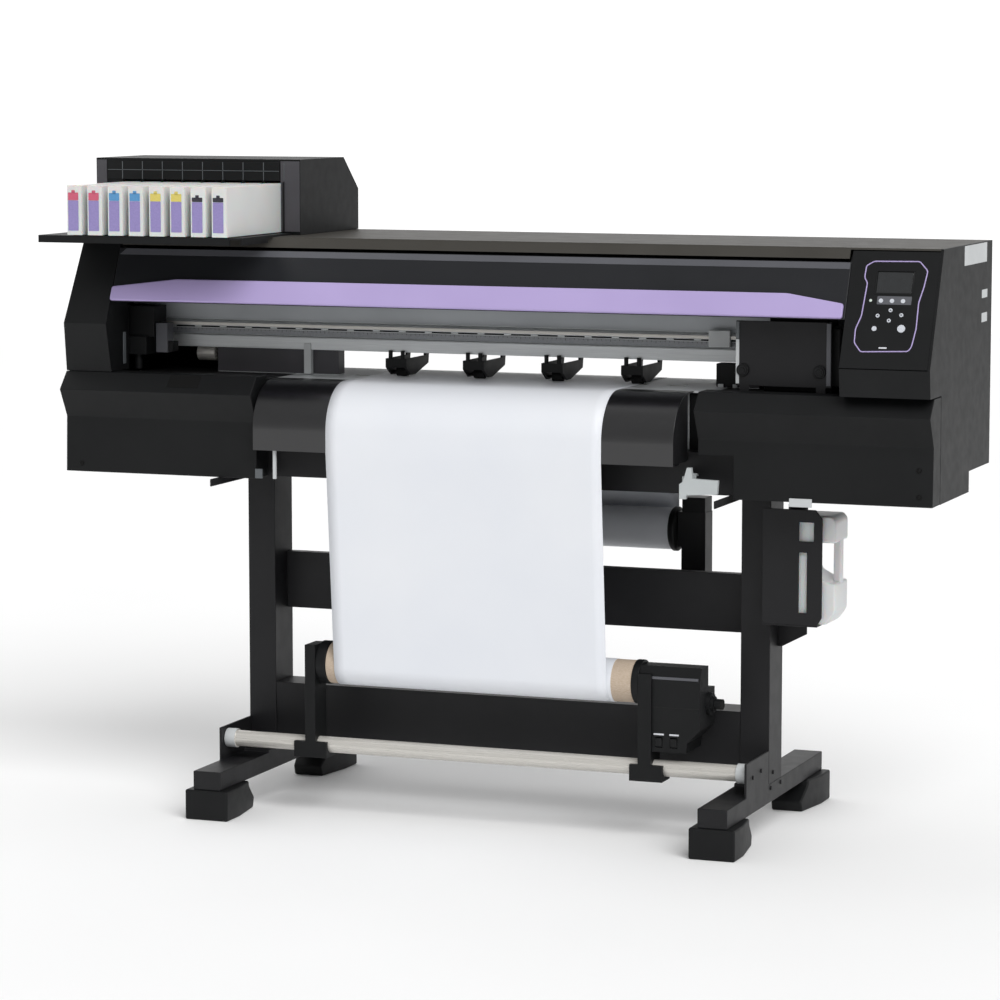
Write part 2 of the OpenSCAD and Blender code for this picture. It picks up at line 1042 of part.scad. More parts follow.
module holder(side) {
    x0 = side > 0 ? film_right + 20 : film_left - 82;
    x1 = x0 + 62;
    inner = side > 0 ? x0 : x1;
    arm = side > 0 ? [x0 + 8, x1] : [x0, x1 - 8];
    color("#1c1d1f") {
        // Folded arm from the rear beam back to a post, open at its rear and below
        difference() {
            prism_x(arm[0], arm[1], [
                [30, 409],
                [30, 530],
                [40, 530],
                [60, 500],
                [200, 492],
                [200, 632],
                [250, 632],
                [250, 440]
            ]);
            prism_x(arm[0] + 3, arm[1] - 3, [
                [34, 405],
                [34, 522],
                [56, 496],
                [203, 488],
                [203, 629],
                [251, 629],
                [251, 420]
            ]);
        }
        block([min(inner, inner + side * 9), 200, 556], [max(inner, inner + side * 9), 250, 632]);
        rod_x(
            min(inner + side * 4, inner - side * 16),
            max(inner + side * 4, inner - side * 16),
            supply_y,
            supply_z,
            shaft_r
        );
    }
}

module roll_holders() {
    for (side = [-1, 1])
        holder(side);
}

module supply_roll() {
    ends = [[film_left - 18, film_left - 2], [film_right + 2, film_right + 18]];
    color("#c4c7cb") {
        ring_x(film_left - 3, film_right + 3, supply_y, supply_z, supply_r, core_bore);
        for (e = ends)
            ring_x(e[0], e[1], supply_y, supply_z, flange_r, shaft_r + running);
    }
}

// The film from the supply roll over the platen and the guide to the take-up roll
module media_web() {
    top = deck_z + film_gap;
    front = guide_y - guide_r - film_gap;
    front_z = deck_z - guide_r;
    low_y = take_y - wrap_r - film_gap;
    rear_z = deck_z - rear_bend_r;
    rear_r = rear_bend_r + film_gap;
    front_r = guide_r + film_gap;
    color("#e6e8ec") {
        block([film_left, guide_y, top], [film_right, rear_bend_y, top + film_t]);
        arc_x(film_left, film_right, guide_y, front_z, front_r, front_r + film_t, 90, 90);
        arc_x(film_left, film_right, rear_bend_y, rear_z, rear_r, rear_r + film_t, 0, 90);
        prism_x(film_left, film_right, [
            [front, front_z],
            [front, guide_low - guide_t],
            [low_y, take_z],
            [low_y - film_t, take_z],
            [front - film_t, guide_low - guide_t],
            [front - film_t, front_z]
        ]);
        block(
            [film_left, drop_y + film_gap, supply_z],
            [film_right, drop_y + film_gap + film_t, rear_z]
        );
    }
}

// ---- Electronics ----

module electronics() {
    color("#4d6b57") {
        block([540, 225, 775], [758, 228, 890]);
        for (x = [560, 620, 690])
            block([x, 208, 800], [x + 40, 226, 850]);
        block([784, 120, 768], [936, 236, 880]);
        block([867, 235, 791], [893, 268, 809]);
    }
}

legs();
feet();
foot_pads();
rear_beam();
front_beam();
carrier_tube();
bed_frame();
platen();
media_guide();
left_lower_cover();
right_lower_cover();
left_side_cover();
right_side_cover();
top_cover();
rear_cover();
control_panel();
y_bar();
belt_drive();
station_panel();
cap_station();
ink_tower();
cartridge_tray();
waste_guard();
roll_holders();
electronics();
takeup_drive();
media_web();
front_cover();
print_carriage();
cutter_carriage();
clamp_lever();
pinch_arms();
pinch_rollers();
grit_roller();
drive_hub();
takeup_core();
left_hub();
left_takeup_arm();
torque_nut();
rocker(SWITCHES[0]);  // direction_switch
rocker(SWITCHES[1]);  // takeup_switch
supply_roll();
waste_bottle();
cartridge(0);  // cartridge_1
cartridge(1);  // cartridge_2
cartridge(2);  // cartridge_3
cartridge(3);  // cartridge_4
cartridge(4);  // cartridge_5
cartridge(5);  // cartridge_6
cartridge(6);  // cartridge_7
cartridge(7);  // cartridge_8
panel_key(0);  // key_left_function
panel_key(1);  // key_middle_function
panel_key(2);  // key_right_function
panel_key(3);  // key_up
panel_key(4);  // key_down
panel_key(5);  // key_left
panel_key(6);  // key_right
panel_key(7);  // key_end
panel_key(8);  // key_enter
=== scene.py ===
"""Looks of a roll-fed printer cutter, built around its CAD frame. Metres, +Z up, the floor is Z = 0."""

import json
import math

import bmesh
import bpy
from mathutils import Matrix, Vector


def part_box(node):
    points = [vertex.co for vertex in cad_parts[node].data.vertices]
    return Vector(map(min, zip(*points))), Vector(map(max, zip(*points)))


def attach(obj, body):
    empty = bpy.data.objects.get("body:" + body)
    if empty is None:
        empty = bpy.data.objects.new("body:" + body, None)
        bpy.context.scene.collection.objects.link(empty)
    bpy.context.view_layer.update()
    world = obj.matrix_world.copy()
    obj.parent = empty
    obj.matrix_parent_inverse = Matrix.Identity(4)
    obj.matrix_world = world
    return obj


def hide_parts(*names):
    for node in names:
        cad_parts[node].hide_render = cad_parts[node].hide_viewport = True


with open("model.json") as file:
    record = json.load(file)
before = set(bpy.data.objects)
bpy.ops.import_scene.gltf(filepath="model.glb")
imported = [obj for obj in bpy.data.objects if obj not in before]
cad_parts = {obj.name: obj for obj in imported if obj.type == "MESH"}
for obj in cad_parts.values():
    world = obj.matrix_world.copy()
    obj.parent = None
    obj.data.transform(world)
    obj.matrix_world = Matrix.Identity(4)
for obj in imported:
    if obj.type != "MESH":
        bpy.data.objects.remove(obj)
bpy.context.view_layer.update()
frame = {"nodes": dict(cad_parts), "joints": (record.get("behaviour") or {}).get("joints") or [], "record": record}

MM = 0.001
X_AXIS = Vector((1, 0, 0))
Y_AXIS = Vector((0, 1, 0))
Z_AXIS = Vector((0, 0, 1))


# ---- Small tools for shapes ----


def point(x, y, z):
    """A point given in millimetres."""
    return Vector((x, y, z)) * MM


def add_box(bm, lo, hi):
    """A box between two corners."""
    size = hi - lo
    place = Matrix.Translation((lo + hi) / 2) @ Matrix.Diagonal((*size, 1))
    bmesh.ops.create_cube(bm, size=1, matrix=place)


def add_prism(bm, outline, depth, place):
    """Extrudes a closed outline of (u, v) points by depth along the third axis of the matrix place."""
    rings = []
    for w in (0, depth):
        rings.append([bm.verts.new(place @ Vector((u, v, w))) for u, v in outline])
    low, high = rings
    bm.faces.new(list(reversed(low)))
    bm.faces.new(high)
    for i in range(len(outline)):
        j = (i + 1) % len(outline)
        bm.faces.new((low[i], low[j], high[j], high[i]))


def turned(origin, axis):
    """The matrix of a frame at origin whose third axis is axis."""
    turn = axis.to_track_quat("Z", "Y").to_matrix().to_4x4()
    return Matrix.Translation(origin) @ turn


def add_lathe(bm, profile, origin, axis, sides=48):
    """Turns a profile of (distance along the axis, radius) points about the axis."""
    place = turned(origin, axis)
    rings = []
    for along, radius in profile:
        ring = []
        for k in range(sides):
            a = 2 * math.pi * k / sides
            ring.append(bm.verts.new(place @ Vector((radius * math.cos(a), radius * math.sin(a), along))))
        rings.append(ring)
    for a, b in zip(rings, rings[1:]):
        for k in range(sides):
            n = (k + 1) % sides
            bm.faces.new((a[k], a[n], b[n], b[k]))
    bm.faces.new(list(reversed(rings[0])))
    bm.faces.new(rings[-1])


def tube_profile(length, outer, inner, chamfer):
    """The lathe profile of a tube with softened rims, as one closed round."""
    return [
        (chamfer, outer),
        (length - chamfer, outer),
        (length, outer - chamfer),
        (length, inner + chamfer),
        (length - chamfer, inner),
        (chamfer, inner),
        (0, inner + chamfer),
        (0, outer - chamfer),
    ]


def add_ring(bm, profile, origin, axis, sides=64):
    """Turns a closed profile of (distance along the axis, radius) points about the axis."""
    place = turned(origin, axis)
    count = len(profile)
    grid = []
    for k in range(sides):
        a = 2 * math.pi * k / sides
        grid.append(
            [bm.verts.new(place @ Vector((r * math.cos(a), r * math.sin(a), s))) for s, r in profile]
        )
    for k in range(sides):
        near, far = grid[k], grid[(k + 1) % sides]
        for i in range(count):
            j = (i + 1) % count
            bm.faces.new((near[i], far[i], far[j], near[j]))


def rounded(points, radius, steps=5):
    """A closed outline with each corner turned into an arc of the given radius."""
    made = []
    for i, corner in enumerate(points):
        corner = Vector(corner)
        before = Vector(points[i - 1]) - corner
        after = Vector(points[(i + 1) % len(points)]) - corner
        reach = min(radius, before.length * 0.45, after.length * 0.45)
        start = corner + before.normalized() * reach
        end = corner + after.normalized() * reach
        for k in range(steps + 1):
            t = k / steps
            made.append(start * (1 - t) ** 2 + corner * 2 * t * (1 - t) + end * t**2)
    return [tuple(p) for p in made]


def soften(obj, width, angle=28, segments=2):
    """Welds a mesh, rounds its edges by width and evens out its normals, as modifiers."""
    for face in obj.data.polygons:
        face.use_smooth = True
    if "custom_normal" in obj.data.attributes:
        obj.data.attributes.remove(obj.data.attributes["custom_normal"])
    weld = obj.modifiers.new("weld", "WELD")
    weld.merge_threshold = 0.02 * MM
    flat = obj.modifiers.new("flat", "DECIMATE")
    flat.decimate_type = "DISSOLVE"
    flat.angle_limit = math.radians(0.5)
    if width:
        bevel = obj.modifiers.new("soft_edge", "BEVEL")
        bevel.width = width
        bevel.segments = segments
        bevel.limit_method = "ANGLE"
        bevel.angle_limit = math.radians(angle)
        bevel.use_clamp_overlap = True
        bevel.miter_outer = "MITER_ARC"
    normals = obj.modifiers.new("normals", "WEIGHTED_NORMAL")
    normals.keep_sharp = False
    normals.weight = 80


def piece(name, bm, finish, body="chassis", soft=0.0, replaces=()):
    """Makes a shown object from a bmesh, in the finish of one material slot, riding on a body."""
    bmesh.ops.recalc_face_normals(bm, faces=bm.faces)
    mesh = bpy.data.meshes.new(name)
    bm.to_mesh(mesh)
    bm.free()
    obj = bpy.data.objects.new(name, mesh)
    bpy.context.scene.collection.objects.link(obj)
    mesh.materials.append(FINISHES[finish])
    soften(obj, soft)
    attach(obj, body)
    if replaces:
        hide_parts(*replaces)
    return obj


# ---- Materials ----


def linear(code):
    """A hex colour as linear red, green, blue and alpha."""
    values = [int(code[i : i + 2], 16) / 255 for i in (1, 3, 5)]
    return (*[v / 12.92 if v <= 0.04045 else ((v + 0.055) / 1.055) ** 2.4 for v in values], 1)


class Finish:
    """A node material in the making, around one Principled shader."""

    def __init__(self, name, **sockets):
        self.material = bpy.data.materials.new(name)
        self.material.use_nodes = True
        self.nodes = self.material.node_tree.nodes
        self.links = self.material.node_tree.links
        self.shader = self.nodes["Principled BSDF"]
        self.coords = self.nodes.new("ShaderNodeTexCoord").outputs["Object"]
        for key, value in sockets.items():
            self.shader.inputs[key.replace("_", " ").title().replace("Ior", "IOR")].default_value = value

    def noise(self, scale, detail=3, stretch=(1, 1, 1), rough=0.5):
        """Noise in the frame's own coordinates; scale is in features per metre."""
        mapping = self.nodes.new("ShaderNodeMapping")
        mapping.inputs["Scale"].default_value = stretch
        self.links.new(self.coords, mapping.inputs["Vector"])
        noise = self.nodes.new("ShaderNodeTexNoise")
        noise.inputs["Scale"].default_value = scale
        noise.inputs["Detail"].default_value = detail
        noise.inputs["Roughness"].default_value = rough
        self.links.new(mapping.outputs["Vector"], noise.inputs["Vector"])
        return noise.outputs["Fac"]

    def grain(self, scale):
        """The small pebbles of a moulded plastic surface."""
        cells = self.nodes.new("ShaderNodeTexVoronoi")
        cells.feature = "SMOOTH_F1"
        cells.inputs["Scale"].default_value = scale
        self.links.new(self.coords, cells.inputs["Vector"])
        return cells.outputs["Distance"]

    def stripes(self, scale, direction="X", distortion=0.0, profile="SIN"):
        """Parallel bands across a direction; scale is in bands per 2 pi tenths of a metre."""
        wave = self.nodes.new("ShaderNodeTexWave")
        wave.bands_direction = direction
        wave.wave_profile = profile
        wave.inputs["Scale"].default_value = scale
        wave.inputs["Distortion"].default_value = distortion
        self.links.new(self.coords, wave.inputs["Vector"])
        return wave.outputs["Fac"]

    def ramp(self, source, stops):
        """Maps a value to colours; stops are (place, hex colour)."""
        ramp = self.nodes.new("ShaderNodeValToRGB")
        elements = ramp.color_ramp.elements
        elements[0].position, elements[0].color = stops[0][0], linear(stops[0][1])
        elements[1].position, elements[1].color = stops[-1][0], linear(stops[-1][1])
        for place, code in stops[1:-1]:
            elements.new(place).color = linear(code)
        self.links.new(source, ramp.inputs["Fac"])
        self.links.new(ramp.outputs["Color"], self.shader.inputs["Base Color"])
        return self

    def roughness(self, source, low, high):
        """Lets the roughness wander from low to high with a value."""
        spread = self.nodes.new("ShaderNodeMapRange")
        spread.inputs["From Min"].default_value = 0.3
        spread.inputs["From Max"].default_value = 0.7
        spread.inputs["To Min"].default_value = low
        spread.inputs["To Max"].default_value = high
        self.links.new(source, spread.inputs["Value"])
        self.links.new(spread.outputs["Result"], self.shader.inputs["Roughness"])
        return self

    def bump(self, source, depth, strength=1.0):
        """Raises the surface by a value times depth in metres."""
        bump = self.nodes.new("ShaderNodeBump")
        bump.inputs["Strength"].default_value = strength
        bump.inputs["Distance"].default_value = depth
        self.links.new(source, bump.inputs["Height"])
        self.links.new(bump.outputs["Normal"], self.shader.inputs["Normal"])
        return self


def painted(name, dark, light, rough, shine=0.3):
    """Powder coat: a faint orange peel and slow changes of gloss."""
    made = Finish(name, specular_ior_level=shine)
    made.ramp(made.noise(7, 3), [(0.3, dark), (0.75, light)])
    made.roughness(made.noise(30, 4), rough - 0.03, rough + 0.03)
    made.bump(made.noise(1400, 2), 0.04 * MM, 0.25)
    return made.material


def moulded(name, dark, light, rough, grain=1500, depth=0.02, shine=0.22):
    """Moulded plastic with a fine pebbled texture."""
    made = Finish(name, specular_ior_level=shine)
    made.ramp(made.noise(8, 3), [(0.3, dark), (0.75, light)])
    made.roughness(made.noise(40, 3), rough - 0.03, rough + 0.03)
    made.bump(made.grain(grain), depth * MM, 0.3)
    return made.material


def glossy(name, dark, light, rough, coat=0.0, shine=0.3):
    """Smooth coated plastic or sheet with very faint waves and dust-fine roughness."""
    made = Finish(name, coat_weight=coat, coat_roughness=0.12, specular_ior_level=shine)
    made.ramp(made.noise(5, 2), [(0.3, dark), (0.75, light)])
    made.roughness(made.noise(50, 3), rough - 0.02, rough + 0.03)
    made.bump(made.noise(9, 2), 0.06 * MM, 0.08)
    return made.material


def metal(name, dark, light, rough, stretch=(0.02, 1, 1), depth=0.004):
    """Drawn and anodised metal, with fine lines along X in colour and height."""
    made = Finish(name, metallic=0.3, specular_ior_level=0.5)
    lines = made.noise(900, 4, stretch)
    made.ramp(lines, [(0.3, dark), (0.72, light)])
    made.roughness(made.noise(260, 4, stretch), rough - 0.07, rough + 0.1)
    made.bump(lines, depth * MM, 0.4)
    return made.material


def film_finish():
    """White vinyl with a soft gloss and long shallow waves."""
    made = Finish("film", specular_ior_level=0.35)
    made.ramp(made.noise(3.5, 2), [(0.3, "#e2e5eb"), (0.75, "#e8eaee")])
    made.roughness(made.noise(30, 2), 0.36, 0.42)
    made.bump(made.noise(4, 1, (1, 1, 0.4)), 0.8 * MM, 0.06)
    return made.material


def cardboard():
    """Wound board: spiral seams on the tube and fibres all over."""
    made = Finish("core_board", specular_ior_level=0.2)
    made.ramp(made.noise(700, 5, (0.3, 1, 1)), [(0.3, "#b5a38f"), (0.55, "#bfae9c"), (0.8, "#c9baa8")])
    made.roughness(made.noise(90, 3), 0.75, 0.88)
    made.bump(made.stripes(9, "DIAGONAL", 0.2, "SAW"), 0.1 * MM, 0.3)
    return made.material


def milky(name, dark, light, rough):
    """Milky plastic with a soft glow below its surface."""
    made = Finish(name, subsurface_weight=0.35, subsurface_scale=0.02, specular_ior_level=0.35)
    made.ramp(made.noise(6, 2), [(0.3, dark), (0.8, light)])
    made.roughness(made.noise(30, 2), rough - 0.03, rough + 0.04)
    made.bump(made.noise(18, 2), 0.2 * MM, 0.08)
    return made.material


def soft_rubber():
    """Rubber with a fine ground surface."""
    made = Finish("rubber", specular_ior_level=0.3)
    made.ramp(made.noise(60, 4), [(0.3, "#151515"), (0.8, "#232323")])
    made.roughness(made.noise(200, 4), 0.62, 0.8)
    made.bump(made.noise(2200, 3), 0.06 * MM, 0.6)
    return made.material


def board_finish():
    """A green circuit board with track-like cells."""
    made = Finish("circuit_board", coat_weight=0.3, coat_roughness=0.2)
    made.ramp(made.grain(160), [(0.1, "#2f6b45"), (0.5, "#1d4a2f"), (0.9, "#5f7a4a")])
    made.roughness(made.noise(120, 3), 0.35, 0.5)
    made.bump(made.grain(420), 0.2 * MM, 0.5)
    return made.material


def display_finish():
    """The dark glass of the display, a little uneven under its cover."""
    made = Finish("display", coat_weight=1.0, coat_roughness=0.03)
    made.ramp(made.noise(90, 2), [(0.3, "#1a1c1e"), (0.8, "#202325")])
    made.roughness(made.noise(700, 3), 0.12, 0.22)
    made.bump(made.stripes(240, "Z"), 0.02 * MM, 0.2)
    return made.material


def label_finish(name, low, high):
    """Printed label film in one ink with a faint mottling."""
    made = Finish(name, coat_weight=0.3, coat_roughness=0.15)
    made.ramp(made.noise(260, 4), [(0.3, low), (0.75, high)])
    made.roughness(made.noise(320, 3), 0.3, 0.45)
    made.bump(made.noise(900, 2), 0.02 * MM, 0.3)
    return made.material


FINISHES = {
    "black_paint": painted("black_paint", "#161618", "#1a1a1c", 0.5),
    # roof_paint lifts the black paint of the machine's top to a brownish grey: a painted sheen, standing for the
    # surround reflected at a grazing angle.
    "roof_paint": painted("roof_paint", "#403e3a", "#464440", 0.5, 0.15),
    "black_plastic": moulded("black_plastic", "#111213", "#151617", 0.5),
    "gloss_black": glossy("gloss_black", "#202124", "#242528", 0.34),
    "guide_sheet": glossy("guide_sheet", "#0b0b0e", "#0e0e11", 0.3, 0.0, 1.0),
    "lavender_trim": glossy("lavender_trim", "#ab9cca", "#b2a3d1", 0.4),
    # grey_stripe paints highlights: the reflection along the front cover's upper edge and the highlight on the
    # take-up drive's top bevel. The function band, cutter plate and station side also use this grey.
    "grey_stripe": glossy("grey_stripe", "#54555a", "#5e5f64", 0.3),
    "aluminium": metal("aluminium", "#cccfd1", "#dbdedf", 0.42),
    "bright_steel": metal("bright_steel", "#c6c3bd", "#d2cfc9", 0.26),
    "film": film_finish(),
    "core_board": cardboard(),
    "rubber": soft_rubber(),
    "grey_plastic": moulded("grey_plastic", "#b4b9ba", "#bfc4c4", 0.45, 1800, 0.02),
    "bottle_plastic": milky("bottle_plastic", "#d2d4d5", "#dbdddd", 0.34),
    "circuit_board": board_finish(),
    "belt_and_motor": moulded("belt_and_motor", "#111214", "#18191b", 0.5),
    "ink_case": milky("ink_case", "#d5d6d4", "#dfe0de", 0.34),
    "ink_label": label_finish("ink_label", "#8b7fb4", "#968ac0"),
    "key_cap": moulded("key_cap", "#c4c8cf", "#d4d7dd", 0.4, 2400, 0.01),
    "display": display_finish(),
    "magenta_ink": label_finish("magenta_ink", "#c4566f", "#cf6079"),
    "cyan_ink": label_finish("cyan_ink", "#4f8dbe", "#5997c8"),
    "yellow_ink": label_finish("yellow_ink", "#d2c262", "#dccb6c"),
    "black_ink": label_finish("black_ink", "#26242e", "#34323d"),
    "white_print": label_finish("white_print", "#c9cbd2", "#d8d9de"),
    "lamp_green": label_finish("lamp_green", "#c6d2c8", "#d8e2da"),
    "grey_panel": painted("grey_panel", "#5b5f62", "#64686b", 0.42),
    "bar_panel": painted("bar_panel", "#aeb2b6", "#babec2", 0.42),
    "tower_panel": painted("tower_panel", "#47464a", "#4f4e52", 0.42),
    "light_panel": painted("light_panel", "#bcbfc0", "#c8cbcc", 0.42),
    # A near-black standing for the shade inside recesses: painted shade on the left cover's recess sheet, also
    # used for the cover screws.
    "painted_recess_shade": moulded("painted_recess_shade", "#060606", "#0a0a0a", 0.7),
    "scale_print": label_finish("scale_print", "#7f8286", "#8c8f93"),
}


# ---- Camera, lights and floor ----

CAMERA_PLACE = Vector((2.742, -7.288, 1.590))
CAMERA_AZIMUTH = math.radians(20.87)
CAMERA_DOWN = math.radians(6.76)
CAMERA_LENS = 132.9
SENSOR = 36


def make_camera():
    """The camera stands to the operator's right, a little above the machine, and looks slightly down."""
    data = bpy.data.cameras.new("camera")
    data.lens = CAMERA_LENS
    data.sensor_width = SENSOR
    camera = bpy.data.objects.new("camera", data)
    camera.location = CAMERA_PLACE
    camera.rotation_euler = (math.pi / 2 - CAMERA_DOWN, 0, CAMERA_AZIMUTH)
    bpy.context.scene.collection.objects.link(camera)
    bpy.context.scene.camera = camera


KEY_FROM = Vector((0.55, -0.6, 0.75))


def make_world():
    """A surround that is bright behind the machine, dim in front and on the right."""
    world = bpy.data.worlds.new("studio")
    world.use_nodes = True
    nodes, links = world.node_tree.nodes, world.node_tree.links
    coords = nodes.new("ShaderNodeTexCoord")
    parts = nodes.new("ShaderNodeSeparateXYZ")
    spread = nodes.new("ShaderNodeMapRange")
    spread.inputs["From Min"].default_value = -0.35
    spread.inputs["From Max"].default_value = 0.3
    spread.inputs["To Min"].default_value = 0.4
    spread.inputs["To Max"].default_value = 1.12
    links.new(coords.outputs["Generated"], parts.inputs["Vector"])
    links.new(parts.outputs["Y"], spread.inputs["Value"])
    fade = nodes.new("ShaderNodeMapRange")
    fade.inputs["From Min"].default_value = -0.2
    fade.inputs["From Max"].default_value = 0.15
    fade.inputs["To Min"].default_value = 1.0
    fade.inputs["To Max"].default_value = 0.5
    links.new(parts.outputs["X"], fade.inputs["Value"])
    both = nodes.new("ShaderNodeMath")
    both.operation = "MULTIPLY"
    links.new(spread.outputs["Result"], both.inputs[0])
    links.new(fade.outputs["Result"], both.inputs[1])
    links.new(both.outputs["Value"], nodes["Background"].inputs["Strength"])
    nodes["Background"].inputs["Color"].default_value = (1, 1, 1, 1)
    bpy.context.scene.world = world
    bpy.context.scene.view_settings.view_transform = "Standard"


def make_key():
    """One very soft light from the front right, well above the machine."""
    data = bpy.data.lights.new("key", "SUN")
    data.energy = 2.4
    data.angle = math.radians(45)
    lamp = bpy.data.objects.new("key", data)
    lamp.rotation_euler = (-KEY_FROM).to_track_quat("-Z", "Y").to_euler()
    bpy.context.scene.collection.objects.link(lamp)


def make_floor():
    """A wide pale floor."""
    bm = bmesh.new()
    bmesh.ops.create_grid(bm, x_segments=8, y_segments=8, size=14)
    mesh = bpy.data.meshes.new("floor")
    bm.to_mesh(mesh)
    bm.free()
    floor = bpy.data.objects.new("floor", mesh)
    made = Finish("floor", specular_ior_level=0.1)
    made.ramp(made.noise(0.8, 2), [(0.3, "#f6f6f6"), (0.8, "#fafafa")])
    made.roughness(made.noise(3, 2), 0.8, 0.9)
    mesh.materials.append(made.material)
    bpy.context.scene.collection.objects.link(floor)


# ---- The sloping front face ----

PRESS = next(j for j in frame["joints"] if j["name"] == "key_enter_press")
OUTWARD = -Vector(PRESS["axis"]).normalized()
UPWARD = OUTWARD.cross(X_AXIS).normalized()
PANEL_POINTS = [v.co for v in frame["nodes"]["control_panel"].data.vertices]
FACE_OFFSET = max(p.dot(OUTWARD) for p in PANEL_POINTS)


def face_point(x, z, out=0.0):
    """The point of the sloping front face at x and height z, moved outwards by out."""
    y = (FACE_OFFSET - z * OUTWARD.z) / OUTWARD.y
    return Vector((x, y, z)) + OUTWARD * out


def face_frame(x, z, out=0.0):
    """A frame on the face: first axis along the machine, second up the slope, third outwards."""
    turn = Matrix((X_AXIS, UPWARD, OUTWARD)).transposed().to_4x4()
    return Matrix.Translation(face_point(x, z, out)) @ turn


def up_slope(z, base):
    """How far up the slope height z lies from height base."""
    return (z - base) / UPWARD.z


# ---- CAD nodes that keep their own shape ----

EDGES = {
    "legs": 1.6,
    "feet": 2.5,
    "foot_pads": 4.0,
    "rear_beam": 1.2,
    "front_beam": 1.0,
    "bed_frame": 0.8,
    "platen": 0.6,
    "left_lower_cover": 2.5,
    "right_lower_cover": 2.5,
    "left_side_cover": 2.0,
    "right_side_cover": 2.0,
    "top_cover": 1.2,
    "rear_cover": 1.2,
    "control_panel": 1.6,
    "ink_tower": 2.2,
    "cartridge_tray": 1.4,
    "waste_guard": 1.0,
    "takeup_drive": 3.0,
    "left_takeup_arm": 3.0,
    "left_hub": 1.5,
    "drive_hub": 1.5,
    "clamp_lever": 1.8,
    "print_carriage": 4.0,
    "cutter_carriage": 3.0,
}
USUAL_EDGE = 0.5
KEY_EDGE = 0.35


def finish_nodes():
    """Gives every CAD node the material of its slot and softly rounded edges."""
    slot_of = {s["node"]: s["material_slot"] for s in frame["record"]["subparts"]}
    for name, obj in frame["nodes"].items():
        obj.data.materials.clear()
        obj.data.materials.append(FINISHES[slot_of[name]])
        usual = KEY_EDGE if name.startswith("key_") else USUAL_EDGE
        soften(obj, EDGES.get(name, usual) * MM)


# ---- Front cover ----

COVER_TOP = 1195
HIGHLIGHT_LOW = 1181
BAR_LOW = 1083
BAR_TOP = 1130
BAR_END_TOP = 1112
PANEL_T = 4
BAR_T = 8


def front_cover():
    """The dark panel with a grey strip along its top, a painted highlight for the light its upper edge reflects,
    the end cheeks and hinge arms, and the lavender bar.
    """
    lo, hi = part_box("front_cover")
    left = lo.x + 7 * MM
    right = hi.x - 7 * MM
    low = BAR_LOW * MM
    place = face_frame(0, low, -PANEL_T * MM)
    bm = bmesh.new()
    top = up_slope(COVER_TOP * MM, low)
    add_prism(bm, [(left, 0), (right, 0), (right, top), (left, top)], PANEL_T * MM, place)
    piece("cover_panel", bm, "gloss_black", "front_cover", 1.2 * MM, ("front_cover",))

    # A grey strip on the upper part of the panel: painted highlight, standing for the light reflected by the
    # cover's upper edge.
    bm = bmesh.new()
    add_prism(
        bm,
        [
            (left + 2 * MM, up_slope(HIGHLIGHT_LOW * MM, low)),
            (right - 2 * MM, up_slope(HIGHLIGHT_LOW * MM, low)),
            (right - 2 * MM, top - 1.5 * MM),
            (left + 16 * MM, top - 1.5 * MM),
        ],
        0.8 * MM,
        face_frame(0, low, -0.3 * MM),
    )
    piece("cover_painted_highlight", bm, "grey_stripe", "front_cover", 0.3 * MM)

    bm = bmesh.new()
    ends = up_slope(BAR_END_TOP * MM, low)
    crest = up_slope(BAR_TOP * MM, low)
    outline = rounded(
        [
            (left, 0),
            (right - 4 * MM, 0),
            (right - 4 * MM, ends),
            (right - 123 * MM, crest),
            (left + 151 * MM, crest),
            (left, ends),
        ],
        6 * MM,
    )
    add_prism(bm, outline, BAR_T * MM + 0.5 * MM, face_frame(0, low, -0.5 * MM))
    piece("cover_bar", bm, "lavender_trim", "front_cover", 3.2 * MM)
    cover_arms(left, right)


def cover_arms(left, right):
    """The cheeks behind both ends of the cover, with the arms and pins that it swings on."""
    hinge = next(j for j in frame["joints"] if j["name"] == "cover_hinge")["pos_m"]
    bm = bmesh.new()
    side = Matrix((Y_AXIS, Z_AXIS, X_AXIS)).transposed().to_4x4()
    low = face_point(0, BAR_LOW * MM)
    high = face_point(0, COVER_TOP * MM)
    mid = face_point(0, 1180 * MM)
    outline = [
        (low.y + 1 * MM, low.z + 1 * MM),
        (low.y + 22 * MM, low.z + 1 * MM),
        (mid.y + 10 * MM, mid.z),
        (hinge[1] + 6 * MM, hinge[2] - 6 * MM),
        (hinge[1] + 6 * MM, hinge[2] + 5 * MM),
        (hinge[1] - 5 * MM, hinge[2] + 5 * MM),
        (high.y + 3 * MM, high.z - 1 * MM),
        (high.y + 1 * MM, high.z - 2 * MM),
    ]
    for x in (left, right - 3 * MM):
        add_prism(bm, outline, 3 * MM, Matrix.Translation((x, 0, 0)) @ side)
    pin = [(0, 2.6 * MM), (0.4 * MM, 3 * MM), (9 * MM, 3 * MM)]
    add_lathe(bm, pin, Vector((left - 7 * MM, hinge[1], hinge[2])), X_AXIS, 24)
    add_lathe(bm, pin, Vector((right + 7 * MM, hinge[1], hinge[2])), -X_AXIS, 24)
    piece("cover_hinge_arms", bm, "black_paint", "front_cover", 0.4 * MM)


# ---- Control panel ----

PANEL_OUTLINE = [
    (805, 1188),
    (820, 1197),
    (913, 1198),
    (931, 1180),
    (927, 1149),
    (920, 1119),
    (921, 1068),
    (916, 1034),
    (910, 1025),
    (814, 1022),
    (799, 1039),
    (798, 1065),
    (807, 1091),
    (811, 1155),
    (804, 1165),
]
SCREEN = (830, 903, 1136, 1178)


